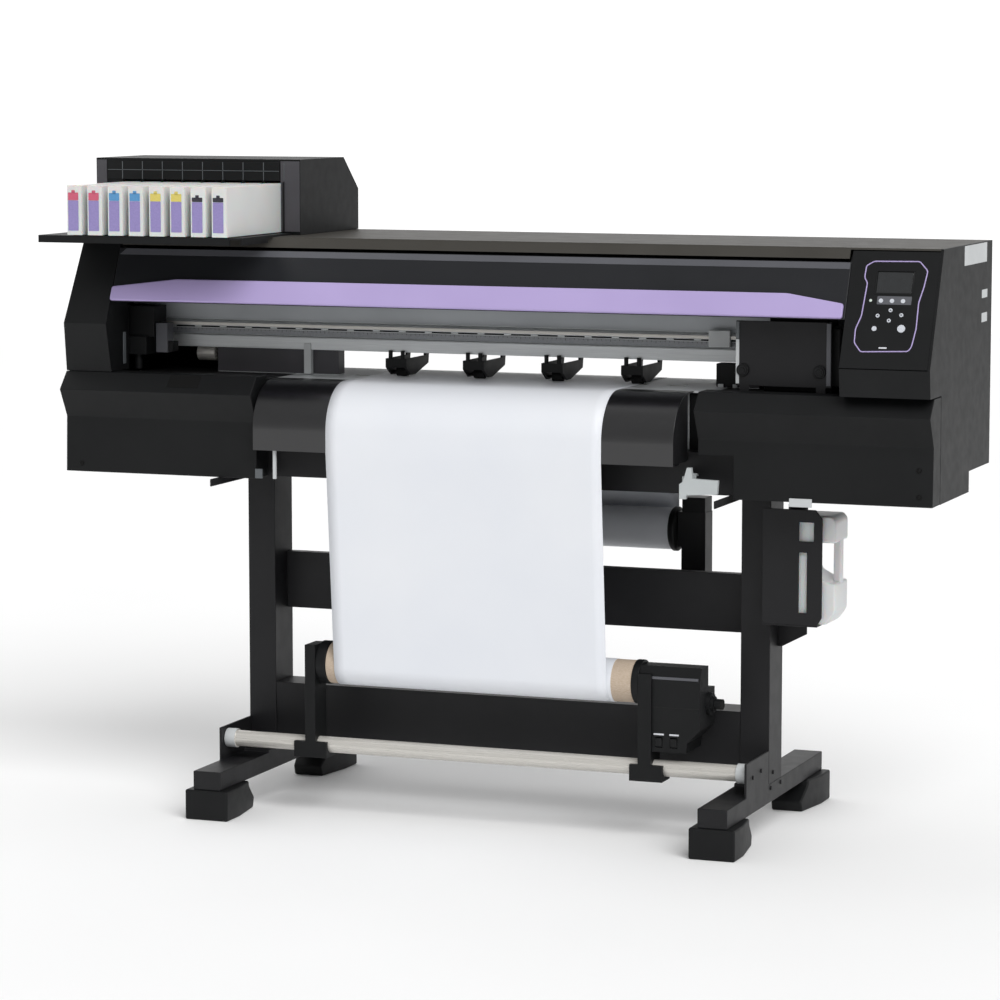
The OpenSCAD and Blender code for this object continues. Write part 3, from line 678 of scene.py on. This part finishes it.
def panel_outline():
    """The thin lavender line that runs round the keys and the display."""
    loop = rounded(PANEL_OUTLINE, 4, 4)
    curve = bpy.data.curves.new("panel_line", "CURVE")
    curve.dimensions = "3D"
    curve.bevel_depth = 1.3 * MM
    curve.bevel_resolution = 3
    spline = curve.splines.new("POLY")
    spline.points.add(len(loop) - 1)
    spline.use_cyclic_u = True
    for spot, (x, z) in zip(spline.points, loop):
        spot.co = (*face_point(x * MM, z * MM, 0.1 * MM), 1)
    obj = bpy.data.objects.new("panel_line", curve)
    bpy.context.scene.collection.objects.link(obj)
    curve.materials.append(FINISHES["lavender_trim"])
    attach(obj, "chassis")


def display():
    """The display glass in its pocket, with a slim raised frame."""
    x0, x1, z0, z1 = (v * MM for v in SCREEN)
    place = face_frame(0, z0, -2.9 * MM)
    height = up_slope(z1, z0)
    bm = bmesh.new()
    inset = 0.5 * MM
    outline = [
        (x0 + inset, inset),
        (x1 - inset, inset),
        (x1 - inset, height - inset),
        (x0 + inset, height - inset),
    ]
    add_prism(bm, outline, 1.6 * MM, place)
    piece("display_glass", bm, "display", "chassis", 0.4 * MM)
    bm = bmesh.new()
    rim = 3 * MM
    frame_place = face_frame(0, z0, -0.2 * MM)
    for low, high in (
        ((x0 - rim, -rim), (x1 + rim, 0)),
        ((x0 - rim, height), (x1 + rim, height + rim)),
        ((x0 - rim, 0), (x0, height)),
        ((x1, 0), (x1 + rim, height)),
    ):
        box = [(low[0], low[1]), (high[0], low[1]), (high[0], high[1]), (low[0], high[1])]
        add_prism(bm, box, 1.0 * MM, frame_place)
    piece("display_frame", bm, "black_plastic", "chassis", 0.3 * MM)


def key_centre(name):
    """The middle of a key's front, from its CAD solid."""
    points = [v.co for v in frame["nodes"][name].data.vertices]
    reach = max(p.dot(OUTWARD) for p in points)
    front = [p for p in points if p.dot(OUTWARD) > reach - 0.1 * MM]
    middle = sum(front, Vector()) / len(front)
    return middle + OUTWARD * (reach - middle.dot(OUTWARD))


def key_marks():
    """Arrow and bar marks raised on the keys, and a grey band behind the function keys."""
    marks = {"key_up": 90, "key_down": -90, "key_left": 180, "key_right": 0}
    size = 2.2 * MM
    for name, degrees in marks.items():
        centre = key_centre(name)
        turn = Matrix((X_AXIS, UPWARD, OUTWARD)).transposed().to_4x4()
        spin = Matrix.Rotation(math.radians(degrees), 4, "Z")
        place = Matrix.Translation(centre - OUTWARD * 0.1 * MM) @ turn @ spin
        bm = bmesh.new()
        add_prism(bm, [(size, 0), (-size * 0.7, size), (-size * 0.7, -size)], 0.3 * MM, place)
        piece(name + "_mark", bm, "black_ink", name)
    band = [key_centre("key_left_function"), key_centre("key_right_function")]
    lo_x, hi_x = band[0].x - 8 * MM, band[1].x + 17 * MM
    z = 1114 * MM
    height = up_slope(1130 * MM, z)
    bm = bmesh.new()
    outline = rounded([(lo_x, 0), (hi_x, 0), (hi_x, height), (lo_x, height)], 2 * MM)
    add_prism(bm, outline, 0.5 * MM, face_frame(0, z, -0.2 * MM))
    piece("function_band", bm, "grey_stripe", "chassis")
    lamp = face_point(822 * MM, 1121 * MM)
    bm = bmesh.new()
    add_lathe(bm, [(-0.5 * MM, 3 * MM), (0.6 * MM, 3 * MM), (1.1 * MM, 2 * MM)], lamp, OUTWARD, 24)
    piece("panel_lamp", bm, "lamp_green", "chassis")
    bm = bmesh.new()
    dash = [(850, 0), (866, 0), (866, 3), (850, 3)]
    add_prism(bm, [(x * MM, z * MM) for x, z in dash], 0.3 * MM, face_frame(0, 1029 * MM, -0.1 * MM))
    piece("panel_dash", bm, "white_print", "chassis")


# ---- Film, rolls and guide ----

GUIDE_R = 100
REAR_BEND_R = 100
WRAP_END = 255
FILM_T = 0.4
SIDE_STEPS = 24


def arc_points(centre_y, centre_z, radius, start, end, steps):
    """Points (y, z) on an arc, angles in degrees with 0 at +Y and 90 at +Z."""
    made = []
    for k in range(steps + 1):
        a = math.radians(start + (end - start) * k / steps)
        made.append((centre_y + radius * math.cos(a), centre_z + radius * math.sin(a)))
    return made


def film_path():
    """The film's line from the supply roll over the platen and the guide, and on round the take-up roll."""
    web_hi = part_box("media_web")[1]
    guide_lo, guide_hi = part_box("media_guide")
    supply_lo, supply_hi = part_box("supply_roll")
    core_lo, core_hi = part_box("takeup_core")
    proud = 0.45 * MM
    top_r = GUIDE_R * MM
    front_y, front_z = guide_lo.y + top_r, guide_hi.z - top_r
    rear_r = REAR_BEND_R * MM
    rear_y, rear_z = web_hi.y - rear_r - 0.7 * MM, guide_hi.z - rear_r
    supply_z = (supply_lo.z + supply_hi.z) / 2
    take_z = (core_lo.z + core_hi.z) / 2
    line = [(rear_y + rear_r + proud, supply_z)]
    line += [(rear_y + rear_r + proud, supply_z + (rear_z - supply_z) * k / 8) for k in range(1, 8)]
    line += arc_points(rear_y, rear_z, rear_r + proud, 0, 90, 12)
    line += [(rear_y + (front_y - rear_y) * k / 12, guide_hi.z + proud) for k in range(1, 12)]
    line += arc_points(front_y, front_z, top_r + proud, 90, 180, 28)
    edge = Vector((guide_lo.y - proud, guide_lo.z))
    end = Vector((core_lo.y - proud, take_z))
    line.append(tuple(edge.lerp(Vector((edge.x, front_z)), 0.5)))
    line += [tuple(edge.lerp(end, k / 30)) for k in range(31)]
    core_r = (core_hi.z - core_lo.z) / 2
    line += arc_points((core_lo.y + core_hi.y) / 2, take_z, core_r + proud, 180, WRAP_END, 12)[1:]
    return line


def film():
    """The white film as one stretched sheet that goes part of the way round the take-up roll."""
    lo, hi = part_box("media_web")
    line = film_path()
    bm = bmesh.new()
    rows = []
    for y, z in line:
        across = [lo.x + (hi.x - lo.x) * k / SIDE_STEPS for k in range(SIDE_STEPS + 1)]
        rows.append([bm.verts.new((x, y, z)) for x in across])
    for a, b in zip(rows, rows[1:]):
        for k in range(SIDE_STEPS):
            bm.faces.new((a[k], b[k], b[k + 1], a[k + 1]))
    mesh = bpy.data.meshes.new("film_web")
    bm.to_mesh(mesh)
    bm.free()
    obj = bpy.data.objects.new("film_web", mesh)
    bpy.context.scene.collection.objects.link(obj)
    for face in mesh.polygons:
        face.use_smooth = True
    mesh.materials.append(FINISHES["film"])
    thick = obj.modifiers.new("thickness", "SOLIDIFY")
    thick.thickness = FILM_T * MM
    thick.offset = 0
    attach(obj, "chassis")
    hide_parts("media_web")


def guide():
    """The curved sheet guide: one smooth skin with end plates and a folded lower lip."""
    lo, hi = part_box("media_guide")
    r = GUIDE_R * MM
    t = 3 * MM
    y, z = lo.y + r, hi.z - r
    outer = [(hi.y, hi.z)] + arc_points(y, z, r, 90, 180, 32) + [(lo.y, lo.z), (lo.y + 40 * MM, lo.z)]
    inner = [(lo.y + 40 * MM, lo.z + t), (lo.y + t, lo.z + t)]
    inner += arc_points(y, z, r - t, 180, 90, 32) + [(hi.y, hi.z - t)]
    side = Matrix((Y_AXIS, Z_AXIS, X_AXIS)).transposed().to_4x4()
    bm = bmesh.new()
    add_prism(bm, outer + inner, hi.x - lo.x, Matrix.Translation((lo.x, 0, 0)) @ side)
    skin = piece("guide_skin", bm, "guide_sheet", "chassis", 0.6 * MM, ("media_guide",))
    bm = bmesh.new()
    inset = 1.5 * MM
    plate = [
        (lo.y + 40 * MM, lo.z + t),
        (hi.y - 38 * MM, lo.z + t),
        (hi.y - 38 * MM, hi.z - t),
        *arc_points(y, z, r - inset, 92, 178, 12),
        (lo.y + inset, lo.z + t),
    ]
    for x in (lo.x + 0.2 * MM, hi.x - 2.2 * MM):
        add_prism(bm, plate, 2 * MM, Matrix.Translation((x, 0, 0)) @ side)
    piece("guide_ends", bm, "black_paint", "chassis", 0.3 * MM)


def takeup_roll():
    """The cardboard core and the turns of film wound on it."""
    lo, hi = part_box("takeup_core")
    film_lo, film_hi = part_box("media_web")
    centre = (lo + hi) / 2
    core_r, bore_r, wrap_r = 44 * MM, 38 * MM, 45 * MM
    bm = bmesh.new()
    origin = Vector((lo.x, centre.y, centre.z))
    add_ring(bm, tube_profile(hi.x - lo.x, core_r, bore_r, 0.6 * MM), origin, X_AXIS)
    piece("takeup_board", bm, "core_board", "takeup_spindle", 0, ("takeup_core",))
    bm = bmesh.new()
    origin = Vector((film_lo.x, centre.y, centre.z))
    wound = film_hi.x - film_lo.x + 8 * MM
    add_ring(bm, tube_profile(wound, wrap_r, core_r - 0.5 * MM, 0.1 * MM), origin, X_AXIS, 96)
    piece("takeup_film", bm, "film", "takeup_spindle", 0, ("takeup_core",))


def supply_roll():
    """The roll of film at the back with its two end caps."""
    lo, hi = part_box("supply_roll")
    centre = (lo + hi) / 2
    roll_r, core_r, cap_r = 45 * MM, 38 * MM, 48 * MM
    inset = 15 * MM
    bm = bmesh.new()
    origin = Vector((lo.x + inset, centre.y, centre.z))
    add_ring(bm, tube_profile(hi.x - lo.x - 2 * inset, roll_r, core_r, 0.3 * MM), origin, X_AXIS, 96)
    piece("supply_film", bm, "film", "supply_roll", 0, ("supply_roll",))
    bm = bmesh.new()
    for x, way in ((lo.x, 1), (hi.x, -1)):
        origin = Vector((x, centre.y, centre.z))
        cap = [
            (0, 9.2 * MM),
            (0, cap_r - 8 * MM),
            (2 * MM, cap_r - 2 * MM),
            (4 * MM, cap_r),
            (12 * MM, cap_r),
            (15.5 * MM, cap_r - 3 * MM),
            (15.5 * MM, 9.2 * MM),
        ]
        add_ring(bm, cap, origin, X_AXIS * way)
    piece("supply_caps", bm, "black_plastic", "supply_roll", 0.4 * MM, ("supply_roll",))


# ---- Ink cartridges and tower ----

INK_COLOURS = ("magenta_ink", "cyan_ink", "yellow_ink", "black_ink")
INKS = tuple(ink for ink in INK_COLOURS for _ in range(2))


def cartridge(number, ink):
    """A milky case with a rounded rim and a printed label in its front recess."""
    name = f"cartridge_{number}"
    lo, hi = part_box(name)
    bm = bmesh.new()
    add_box(bm, lo, hi)
    front = [f for f in bm.faces if f.calc_center_median().y < lo.y + MM]
    bmesh.ops.inset_individual(bm, faces=front, thickness=1.2 * MM)
    front = [f for f in bm.faces if all(v.co.y < lo.y + MM for v in f.verts) and len(f.verts) == 4]
    inner = min(front, key=lambda f: (f.calc_center_median() - (lo + hi) / 2).xz.length)
    bmesh.ops.translate(bm, verts=inner.verts, vec=(0, 0.8 * MM, 0))
    piece(name + "_case", bm, "ink_case", name, 1.6 * MM, (name,))
    x0, x1 = lo.x + 2.5 * MM, hi.x - 7.5 * MM
    middle = (x0 + x1) / 2
    y = lo.y + 0.8 * MM
    crest = hi.z - (22 if ink == "black_ink" else 15) * MM
    label(name + "_colour", ink, name, (x0, x1), (hi.z - 31 * MM, crest), y)
    label(name + "_label", "ink_label", name, (x0, x1), (lo.z + 9 * MM, hi.z - 31.5 * MM), y)
    label(name + "_tab", ink, name, (middle - 4 * MM, middle + 4 * MM), (crest - MM, crest + 5 * MM), y)


def label(name, finish, body, across, up, y):
    """A thin printed patch on a front that faces the operator."""
    bm = bmesh.new()
    corners = [(across[0], up[0]), (across[1], up[0]), (across[1], up[1]), (across[0], up[1])]
    outline = rounded(corners, 1.2 * MM, 3)
    flat = Matrix((X_AXIS, Z_AXIS, -Y_AXIS)).transposed().to_4x4()
    add_prism(bm, outline, 0.35 * MM, Matrix.Translation((0, y + 0.05 * MM, 0)) @ flat)
    return piece(name, bm, finish, body)


def tower_front():
    """Label strip and ribs between the slots on the ink tower's front."""
    lo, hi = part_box("ink_tower")
    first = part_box("cartridge_1")
    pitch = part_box("cartridge_2")[0].x - first[0].x
    y = lo.y
    bm = bmesh.new()
    add_box(
        bm,
        Vector((lo.x + 28 * MM, y - 3 * MM, hi.z - 46 * MM)),
        Vector((hi.x - 47 * MM, y + MM, hi.z - 6 * MM)),
    )
    piece("slot_header", bm, "black_plastic", "chassis", 1.5 * MM)
    bm = bmesh.new()
    add_box(
        bm,
        Vector((lo.x + 29 * MM, y - 3.8 * MM, hi.z - 26 * MM)),
        Vector((hi.x - 48 * MM, y, hi.z - 24.6 * MM)),
    )
    for k in range(9):
        x = first[0].x - 7 * MM + k * pitch
        add_box(bm, Vector((x, y - 3.8 * MM, hi.z - 45 * MM)), Vector((x + 1.6 * MM, y, hi.z - 7 * MM)))
    piece("header_lines", bm, "grey_panel", "chassis")
    bm = bmesh.new()
    for x0, x1 in ((lo.x + 1 * MM, lo.x + 26 * MM), (hi.x - 45 * MM, hi.x - MM)):
        add_box(
            bm,
            Vector((x0, y - 2.5 * MM, lo.z + 6 * MM)),
            Vector((x1, y + MM, hi.z - 4 * MM)),
        )
    piece("tower_frame", bm, "tower_panel", "chassis", 1.2 * MM)
    bm = bmesh.new()
    gap = pitch - (first[1].x - first[0].x)
    for k in range(9):
        x = first[0].x - gap / 2 + k * pitch
        add_box(
            bm,
            Vector((x - 1.2 * MM, y - 7 * MM, first[0].z - MM)),
            Vector((x + 1.2 * MM, y + MM, hi.z - 48 * MM)),
        )
    piece("slot_ribs", bm, "black_plastic", "chassis", 0.6 * MM)


# ---- Bar, rail and scale behind the film ----


def bar_details():
    """The bright rail, the ticked scale, the lower lip and the grey panel of the bar."""
    lo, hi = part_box("y_bar")
    x0, x1 = lo.x + 2 * MM, hi.x - 2 * MM
    front = lo.y + 8 * MM
    strips = [
        ("rail_bright", "bright_steel", 1023.5, 1030.5, lo.y - 0.5 * MM, lo.y + 2 * MM, 0.8),
        ("rail_shadow", "black_plastic", 1018.5, 1022, front - 0.8 * MM, front + 4 * MM, 0.2),
        ("scale_band", "scale_print", 1004.5, 1016.5, front + 3.5 * MM, front + 6 * MM, 0.2),
        ("lip_bright", "aluminium", 977.5, 1001, front - 1.0 * MM, front + 2 * MM, 0.8),
    ]
    for name, finish, low, high, y0, y1, soft in strips:
        bm = bmesh.new()
        add_box(bm, Vector((x0, y0, low * MM)), Vector((x1, y1, high * MM)))
        piece(name, bm, finish, "chassis", soft * MM)
    bm = bmesh.new()
    add_box(bm, Vector((x0, -14.8 * MM, 1037 * MM)), Vector((x1, -13.5 * MM, hi.z - 2 * MM)))
    piece("bar_panel", bm, "bar_panel", "chassis", 0.5 * MM)
    bm = bmesh.new()
    tick_y = front + 3.3 * MM
    for k in range(int((x1 - x0) / (10 * MM))):
        x = x0 + 6 * MM + k * 10 * MM
        tall = 5 if k % 5 == 0 else 3
        add_box(
            bm,
            Vector((x - 0.4 * MM, tick_y, 1016 * MM - tall * MM)),
            Vector((x + 0.4 * MM, tick_y + MM, 1016 * MM)),
        )
    piece("scale_ticks", bm, "black_ink", "chassis")
    bm = bmesh.new()
    for k in range(int((x1 - x0) / (60 * MM))):
        x = x0 + 30 * MM + k * 60 * MM
        low, high = 1019.4 * MM, 1021.6 * MM
        outline = rounded([(x, low), (x + 16 * MM, low), (x + 16 * MM, high), (x, high)], MM, 3)
        flat = Matrix((X_AXIS, Z_AXIS, -Y_AXIS)).transposed().to_4x4()
        add_prism(bm, outline, 0.6 * MM, Matrix.Translation((0, front - 0.6 * MM, 0)) @ flat)
    piece("rail_slots", bm, "aluminium", "chassis")
    post_covers()


def post_covers():
    """Covers round the two posts that carry the bar: black parts given a lighter grey, which paints in light where
    they stand in deep shade.
    """
    posts = [(-689, -404), (492, 540)]
    bm = bmesh.new()
    for left, right in posts:
        add_box(bm, point(left - 0.8, -12.8, 923), point(right + 0.8, 20.8, 975.5))
    # The lighter grey finish on these black covers is painted light.
    piece("post_covers", bm, "tower_panel", "chassis", 1.5 * MM)


# ---- Waste bottle ----


def bottle_part(name, outline, y0, y1, soft):
    """One rounded part of the bottle, from an outline seen from the front."""
    flat = Matrix((X_AXIS, Z_AXIS, -Y_AXIS)).transposed().to_4x4()
    bm = bmesh.new()
    add_prism(bm, outline, y1 - y0, Matrix.Translation((0, y1, 0)) @ flat)
    return piece(name, bm, "bottle_plastic", "waste_bottle", soft, ("waste_bottle",))


def waste_bottle():
    """A blow-moulded bottle: its body wraps round a hole, and a slim grip closes the hole."""
    lo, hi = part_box("waste_bottle")
    inner = hi.x - 53 * MM
    grip_low, grip_high = lo.z + 86 * MM, lo.z + 168 * MM
    body = [
        (lo.x, lo.z),
        (hi.x - 19 * MM, lo.z),
        (hi.x, lo.z + 26 * MM),
        (hi.x, grip_low),
        (inner + 38 * MM, grip_low),
        (inner, grip_low + 20 * MM),
        (inner, grip_high),
        (hi.x, grip_high),
        (hi.x, hi.z - 29 * MM),
        (hi.x - 9 * MM, hi.z - 19 * MM),
        (lo.x, hi.z - 19 * MM),
    ]
    bottle_part("bottle_body", rounded(body, 7 * MM), lo.y, hi.y, 7 * MM)
    grip = [
        (hi.x - 15 * MM, grip_low - 12 * MM),
        (hi.x - 0.5 * MM, grip_low - 12 * MM),
        (hi.x - 0.5 * MM, grip_high + 12 * MM),
        (hi.x - 15 * MM, grip_high + 12 * MM),
    ]
    bottle_part("bottle_grip", rounded(grip, 3 * MM), lo.y + 37 * MM, hi.y - 31 * MM, 4 * MM)
    bm = bmesh.new()
    neck = [
        (0, 19 * MM),
        (6 * MM, 19 * MM),
        (6.5 * MM, 20 * MM),
        (17 * MM, 20 * MM),
        (18.5 * MM, 18.5 * MM),
        (18.5 * MM, 12 * MM),
    ]
    add_lathe(bm, neck, Vector((lo.x + 48 * MM, lo.y + 46 * MM, hi.z - 19.3 * MM)), Z_AXIS)
    piece("bottle_cap", bm, "black_plastic", "waste_bottle", 0.3 * MM)


# ---- Screws and small fittings ----


def add_screw(bm, place, axis, radius):
    """A pan-head screw, its head lying on a surface."""
    head = [
        (-0.4 * MM, radius),
        (radius * 0.35, radius),
        (radius * 0.62, radius * 0.72),
        (radius * 0.66, radius * 0.45),
    ]
    add_lathe(bm, head, place, axis, 20)


def screws(name, places, axis, radius, finish="bright_steel", body="chassis"):
    """A set of like screws as one piece."""
    bm = bmesh.new()
    for place in places:
        add_screw(bm, place, axis, radius * MM)
    piece(name, bm, finish, body)


def stand_bolts():
    """Bolts through the foot beams and legs, on the outer sides."""
    lo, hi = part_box("feet")
    spots = [(-27, 125), (-44, 95), (28, 94), (-170, 139), (-113, 143)]
    screws("bolts_right", [Vector((hi.x, y * MM, z * MM)) for y, z in spots], X_AXIS, 4.5, "black_paint")
    screws("bolts_left", [Vector((lo.x, y * MM, z * MM)) for y, z in spots], -X_AXIS, 4.5, "black_paint")


def fitting(name, finish, lo, hi, soft=0.4, body="chassis"):
    """A small rectangular fitting between two corners in millimetres."""
    bm = bmesh.new()
    add_box(bm, point(*lo), point(*hi))
    return piece(name, bm, finish, body, soft * MM)


def bay_fittings():
    """The small parts that show in both ends of the working bay."""
    fitting("jamb_strip", "grey_panel", (-852, -146, 944), (-850.5, -134, 1012), 0.3)
    fitting("cutter_plate", "grey_stripe", (-799.5, -92, 966), (-772, -60, 1030), 1.0, "cutter_carriage")
    fitting("cutter_foot", "black_plastic", (-771.5, -90, 968), (-760, -62, 990), 1.0, "cutter_carriage")
    fitting("post_clip", "light_panel", (-478, -28, 924), (-462, -13.2, 990), 0.8)
    bm = bmesh.new()
    profile = [(0, 14 * MM), (2 * MM, 17 * MM), (42 * MM, 17 * MM), (44 * MM, 14 * MM)]
    add_lathe(bm, profile, point(-741, 3, 961), X_AXIS, 40)
    piece("guide_wheel", bm, "bright_steel", "chassis")
    fitting("bar_end_clamp", "light_panel", (437, -37, 1007), (484, -25, 1042), 2.0)
    fitting("end_block", "black_plastic", (447, -14, 923), (491, 20, 972), 2.0)
    fitting("gap_cover", "black_plastic", (417.5, -99, 786), (440, -96.4, 917), 0.3)
    for side, x in (("left", -415), ("right", 305)):
        fitting(f"holder_head_{side}", "black_plastic", (x, 200, 631), (x + 52, 250, 664), 1.5)
    fitting("end_foot_1", "light_panel", (452, -18, 922.2), (464, -15, 930), 0.5)
    fitting("end_foot_2", "light_panel", (484, -18, 922.2), (494, -15, 930), 0.5)


def station_fittings():
    """The edge strips and the ringed knobs of the panel in front of the capping station."""
    lo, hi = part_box("station_panel")
    left, right = lo.x / MM, hi.x / MM
    front = -150
    fitting("station_edge", "light_panel", (left, front - 2, 944), (left + 7, front - 0.2, 1034), 0.5)
    fitting("station_edge_top", "grey_panel", (left, front - 2, 1035), (left + 7, front - 0.2, 1070), 0.5)
    fitting("station_side", "grey_stripe", (right - 10, front - 2, 944), (right - 1, front - 0.2, 1070), 0.5)
    bm = bmesh.new()
    for x in (547, 708):
        ring = [(0, 8 * MM), (0, 13 * MM), (3 * MM, 13 * MM), (4 * MM, 12 * MM), (4 * MM, 8 * MM)]
        add_ring(bm, ring, point(x, front - 1, 972), -Y_AXIS, 40)
    piece("station_rings", bm, "black_plastic", "chassis")
    for index, x in enumerate((547, 708)):
        bm = bmesh.new()
        add_lathe(bm, [(9 * MM, 7 * MM), (10.5 * MM, 6 * MM)], point(x, front + 1, 972), -Y_AXIS, 32)
        piece(f"station_knob_{index + 1}", bm, "black_plastic", "chassis")


def cover_fittings():
    """Screws, a dark sheet that paints the shade of the recess in the left cover, and clips on the lower edges of
    the covers.
    """
    spots = [point(930, -207.6, 787), point(931, -209, 734), point(-922, -209, 731.5)]
    screws("cover_screws", spots, -Y_AXIS, 5, "painted_recess_shade")
    along = Vector((0, -33, -37)).normalized()
    out = Vector((0, -37, 33)).normalized()
    place = Matrix((X_AXIS, -along, -out)).transposed().to_4x4()
    bm = bmesh.new()
    # The recess is a thin near-black sheet on the cover's face, not a cut: its darkness is painted shade.
    corners = [(-709 * MM, -35 * MM), (-636 * MM, -35 * MM), (-636 * MM, -3 * MM), (-709 * MM, -3 * MM)]
    add_prism(bm, corners, -0.5 * MM, Matrix.Translation(point(0, -205, 930) + out * 0.1 * MM) @ place)
    piece("cover_recess_painted_shade", bm, "painted_recess_shade", "chassis")
    fitting("guide_stay", "light_panel", (-461, -232, 718), (-454, -226, 778.8), 0.6)
    fitting("cover_clip_left", "grey_panel", (-509, -217, 716), (-493, -210.5, 736), 0.8)
    fitting("bottle_strap", "light_panel", (665, -215, 705), (712, -210.5, 722), 1.0)


BODY_REAR = 266


def side_fittings():
    """Light plates on the right side cover, and the screws of the rear cover."""
    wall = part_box("right_side_cover")[1].x / MM + 0.04
    plates = ((26, 219, 1181, 1221), (179, 227, 1107, 1124), (179, 227, 1057, 1076))
    for index, (y0, y1, z0, z1) in enumerate(plates):
        fitting(f"side_plate_{index + 1}", "light_panel", (wall - 1, y0, z0), (wall, y1, z1), 0)
    spots = [(x, z) for x in (-900, -450, 0, 450, 900) for z in (790, 1200) if abs(x) > 500 or z > 1000]
    screws("rear_screws", [point(x, BODY_REAR, z) for x, z in spots], Y_AXIS, 4, "bright_steel")


def mains_inlet():
    """The inlet's black shell with its three pins, round the CAD block of the inlet."""
    pos = next(m for m in frame["record"]["mounts"] if m["name"] == "mains_inlet")["pos_m"]
    x, y, z = (v / MM for v in pos)
    bm = bmesh.new()
    add_box(bm, point(x - 13.4, BODY_REAR - 30, z - 9.4), point(x + 13.4, y + 0.2, z + 9.4))
    for lo, hi in (
        ((-19, 9), (19, 15)),
        ((-19, -15), (19, -9)),
        ((-19, -9), (-13, 9)),
        ((13, -9), (19, 9)),
    ):
        add_box(bm, point(x + lo[0], BODY_REAR - 0.1, z + lo[1]), point(x + hi[0], y + 1.5, z + hi[1]))
    piece("inlet_shell", bm, "black_plastic", "chassis", 0.4 * MM)
    bm = bmesh.new()
    for dx, dz in ((-7, -2), (7, -2), (0, 3)):
        add_box(bm, point(x + dx - 1, y, z + dz - 2), point(x + dx + 1, y + 1.2, z + dz + 2))
    piece("inlet_pins", bm, "bright_steel", "chassis", 0.2 * MM)


def drive_fittings():
    """The seam and switch marks of the take-up drive, a grey strip that paints the highlight on its top bevel, and
    the ends of the tube.
    """
    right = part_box("takeup_drive")[1].x / MM - 14
    fitting("drive_seam", "rubber", (373.4, -200.4, 277), (right - 1, -199.5, 278.6), 0)
    # A grey strip along the lower half of the drive's top bevel: painted highlight.
    fitting("drive_painted_highlight", "grey_stripe", (345, -199.6, 333), (right - 4, -196, 341), 0.5)
    for index, (x0, x1) in enumerate(((377, 399), (411, 431))):
        fitting(f"switch_mark_{index + 1}", "white_print", (x0, -200.3, 220), (x1, -199.5, 223.5), 0)
    tube_lo, tube_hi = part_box("carrier_tube")
    centre = (tube_lo + tube_hi) / 2
    bm = bmesh.new()
    for x in (tube_lo.x + 0.4 * MM, tube_hi.x - 23.6 * MM):
        profile = tube_profile(23.2 * MM, 20.4 * MM, 19.5 * MM, 0.3 * MM)
        add_ring(bm, profile, Vector((x, centre.y, centre.z)), X_AXIS)
    piece("tube_collars", bm, "light_panel", "chassis")


# ---- Build ----

make_camera()
make_world()
make_key()
make_floor()
finish_nodes()
front_cover()
panel_outline()
display()
key_marks()
guide()
film()
takeup_roll()
supply_roll()
for index, ink in enumerate(INKS):
    cartridge(index + 1, ink)
tower_front()
bar_details()
waste_bottle()
stand_bolts()
bay_fittings()
station_fittings()
cover_fittings()
drive_fittings()
side_fittings()
mains_inlet()
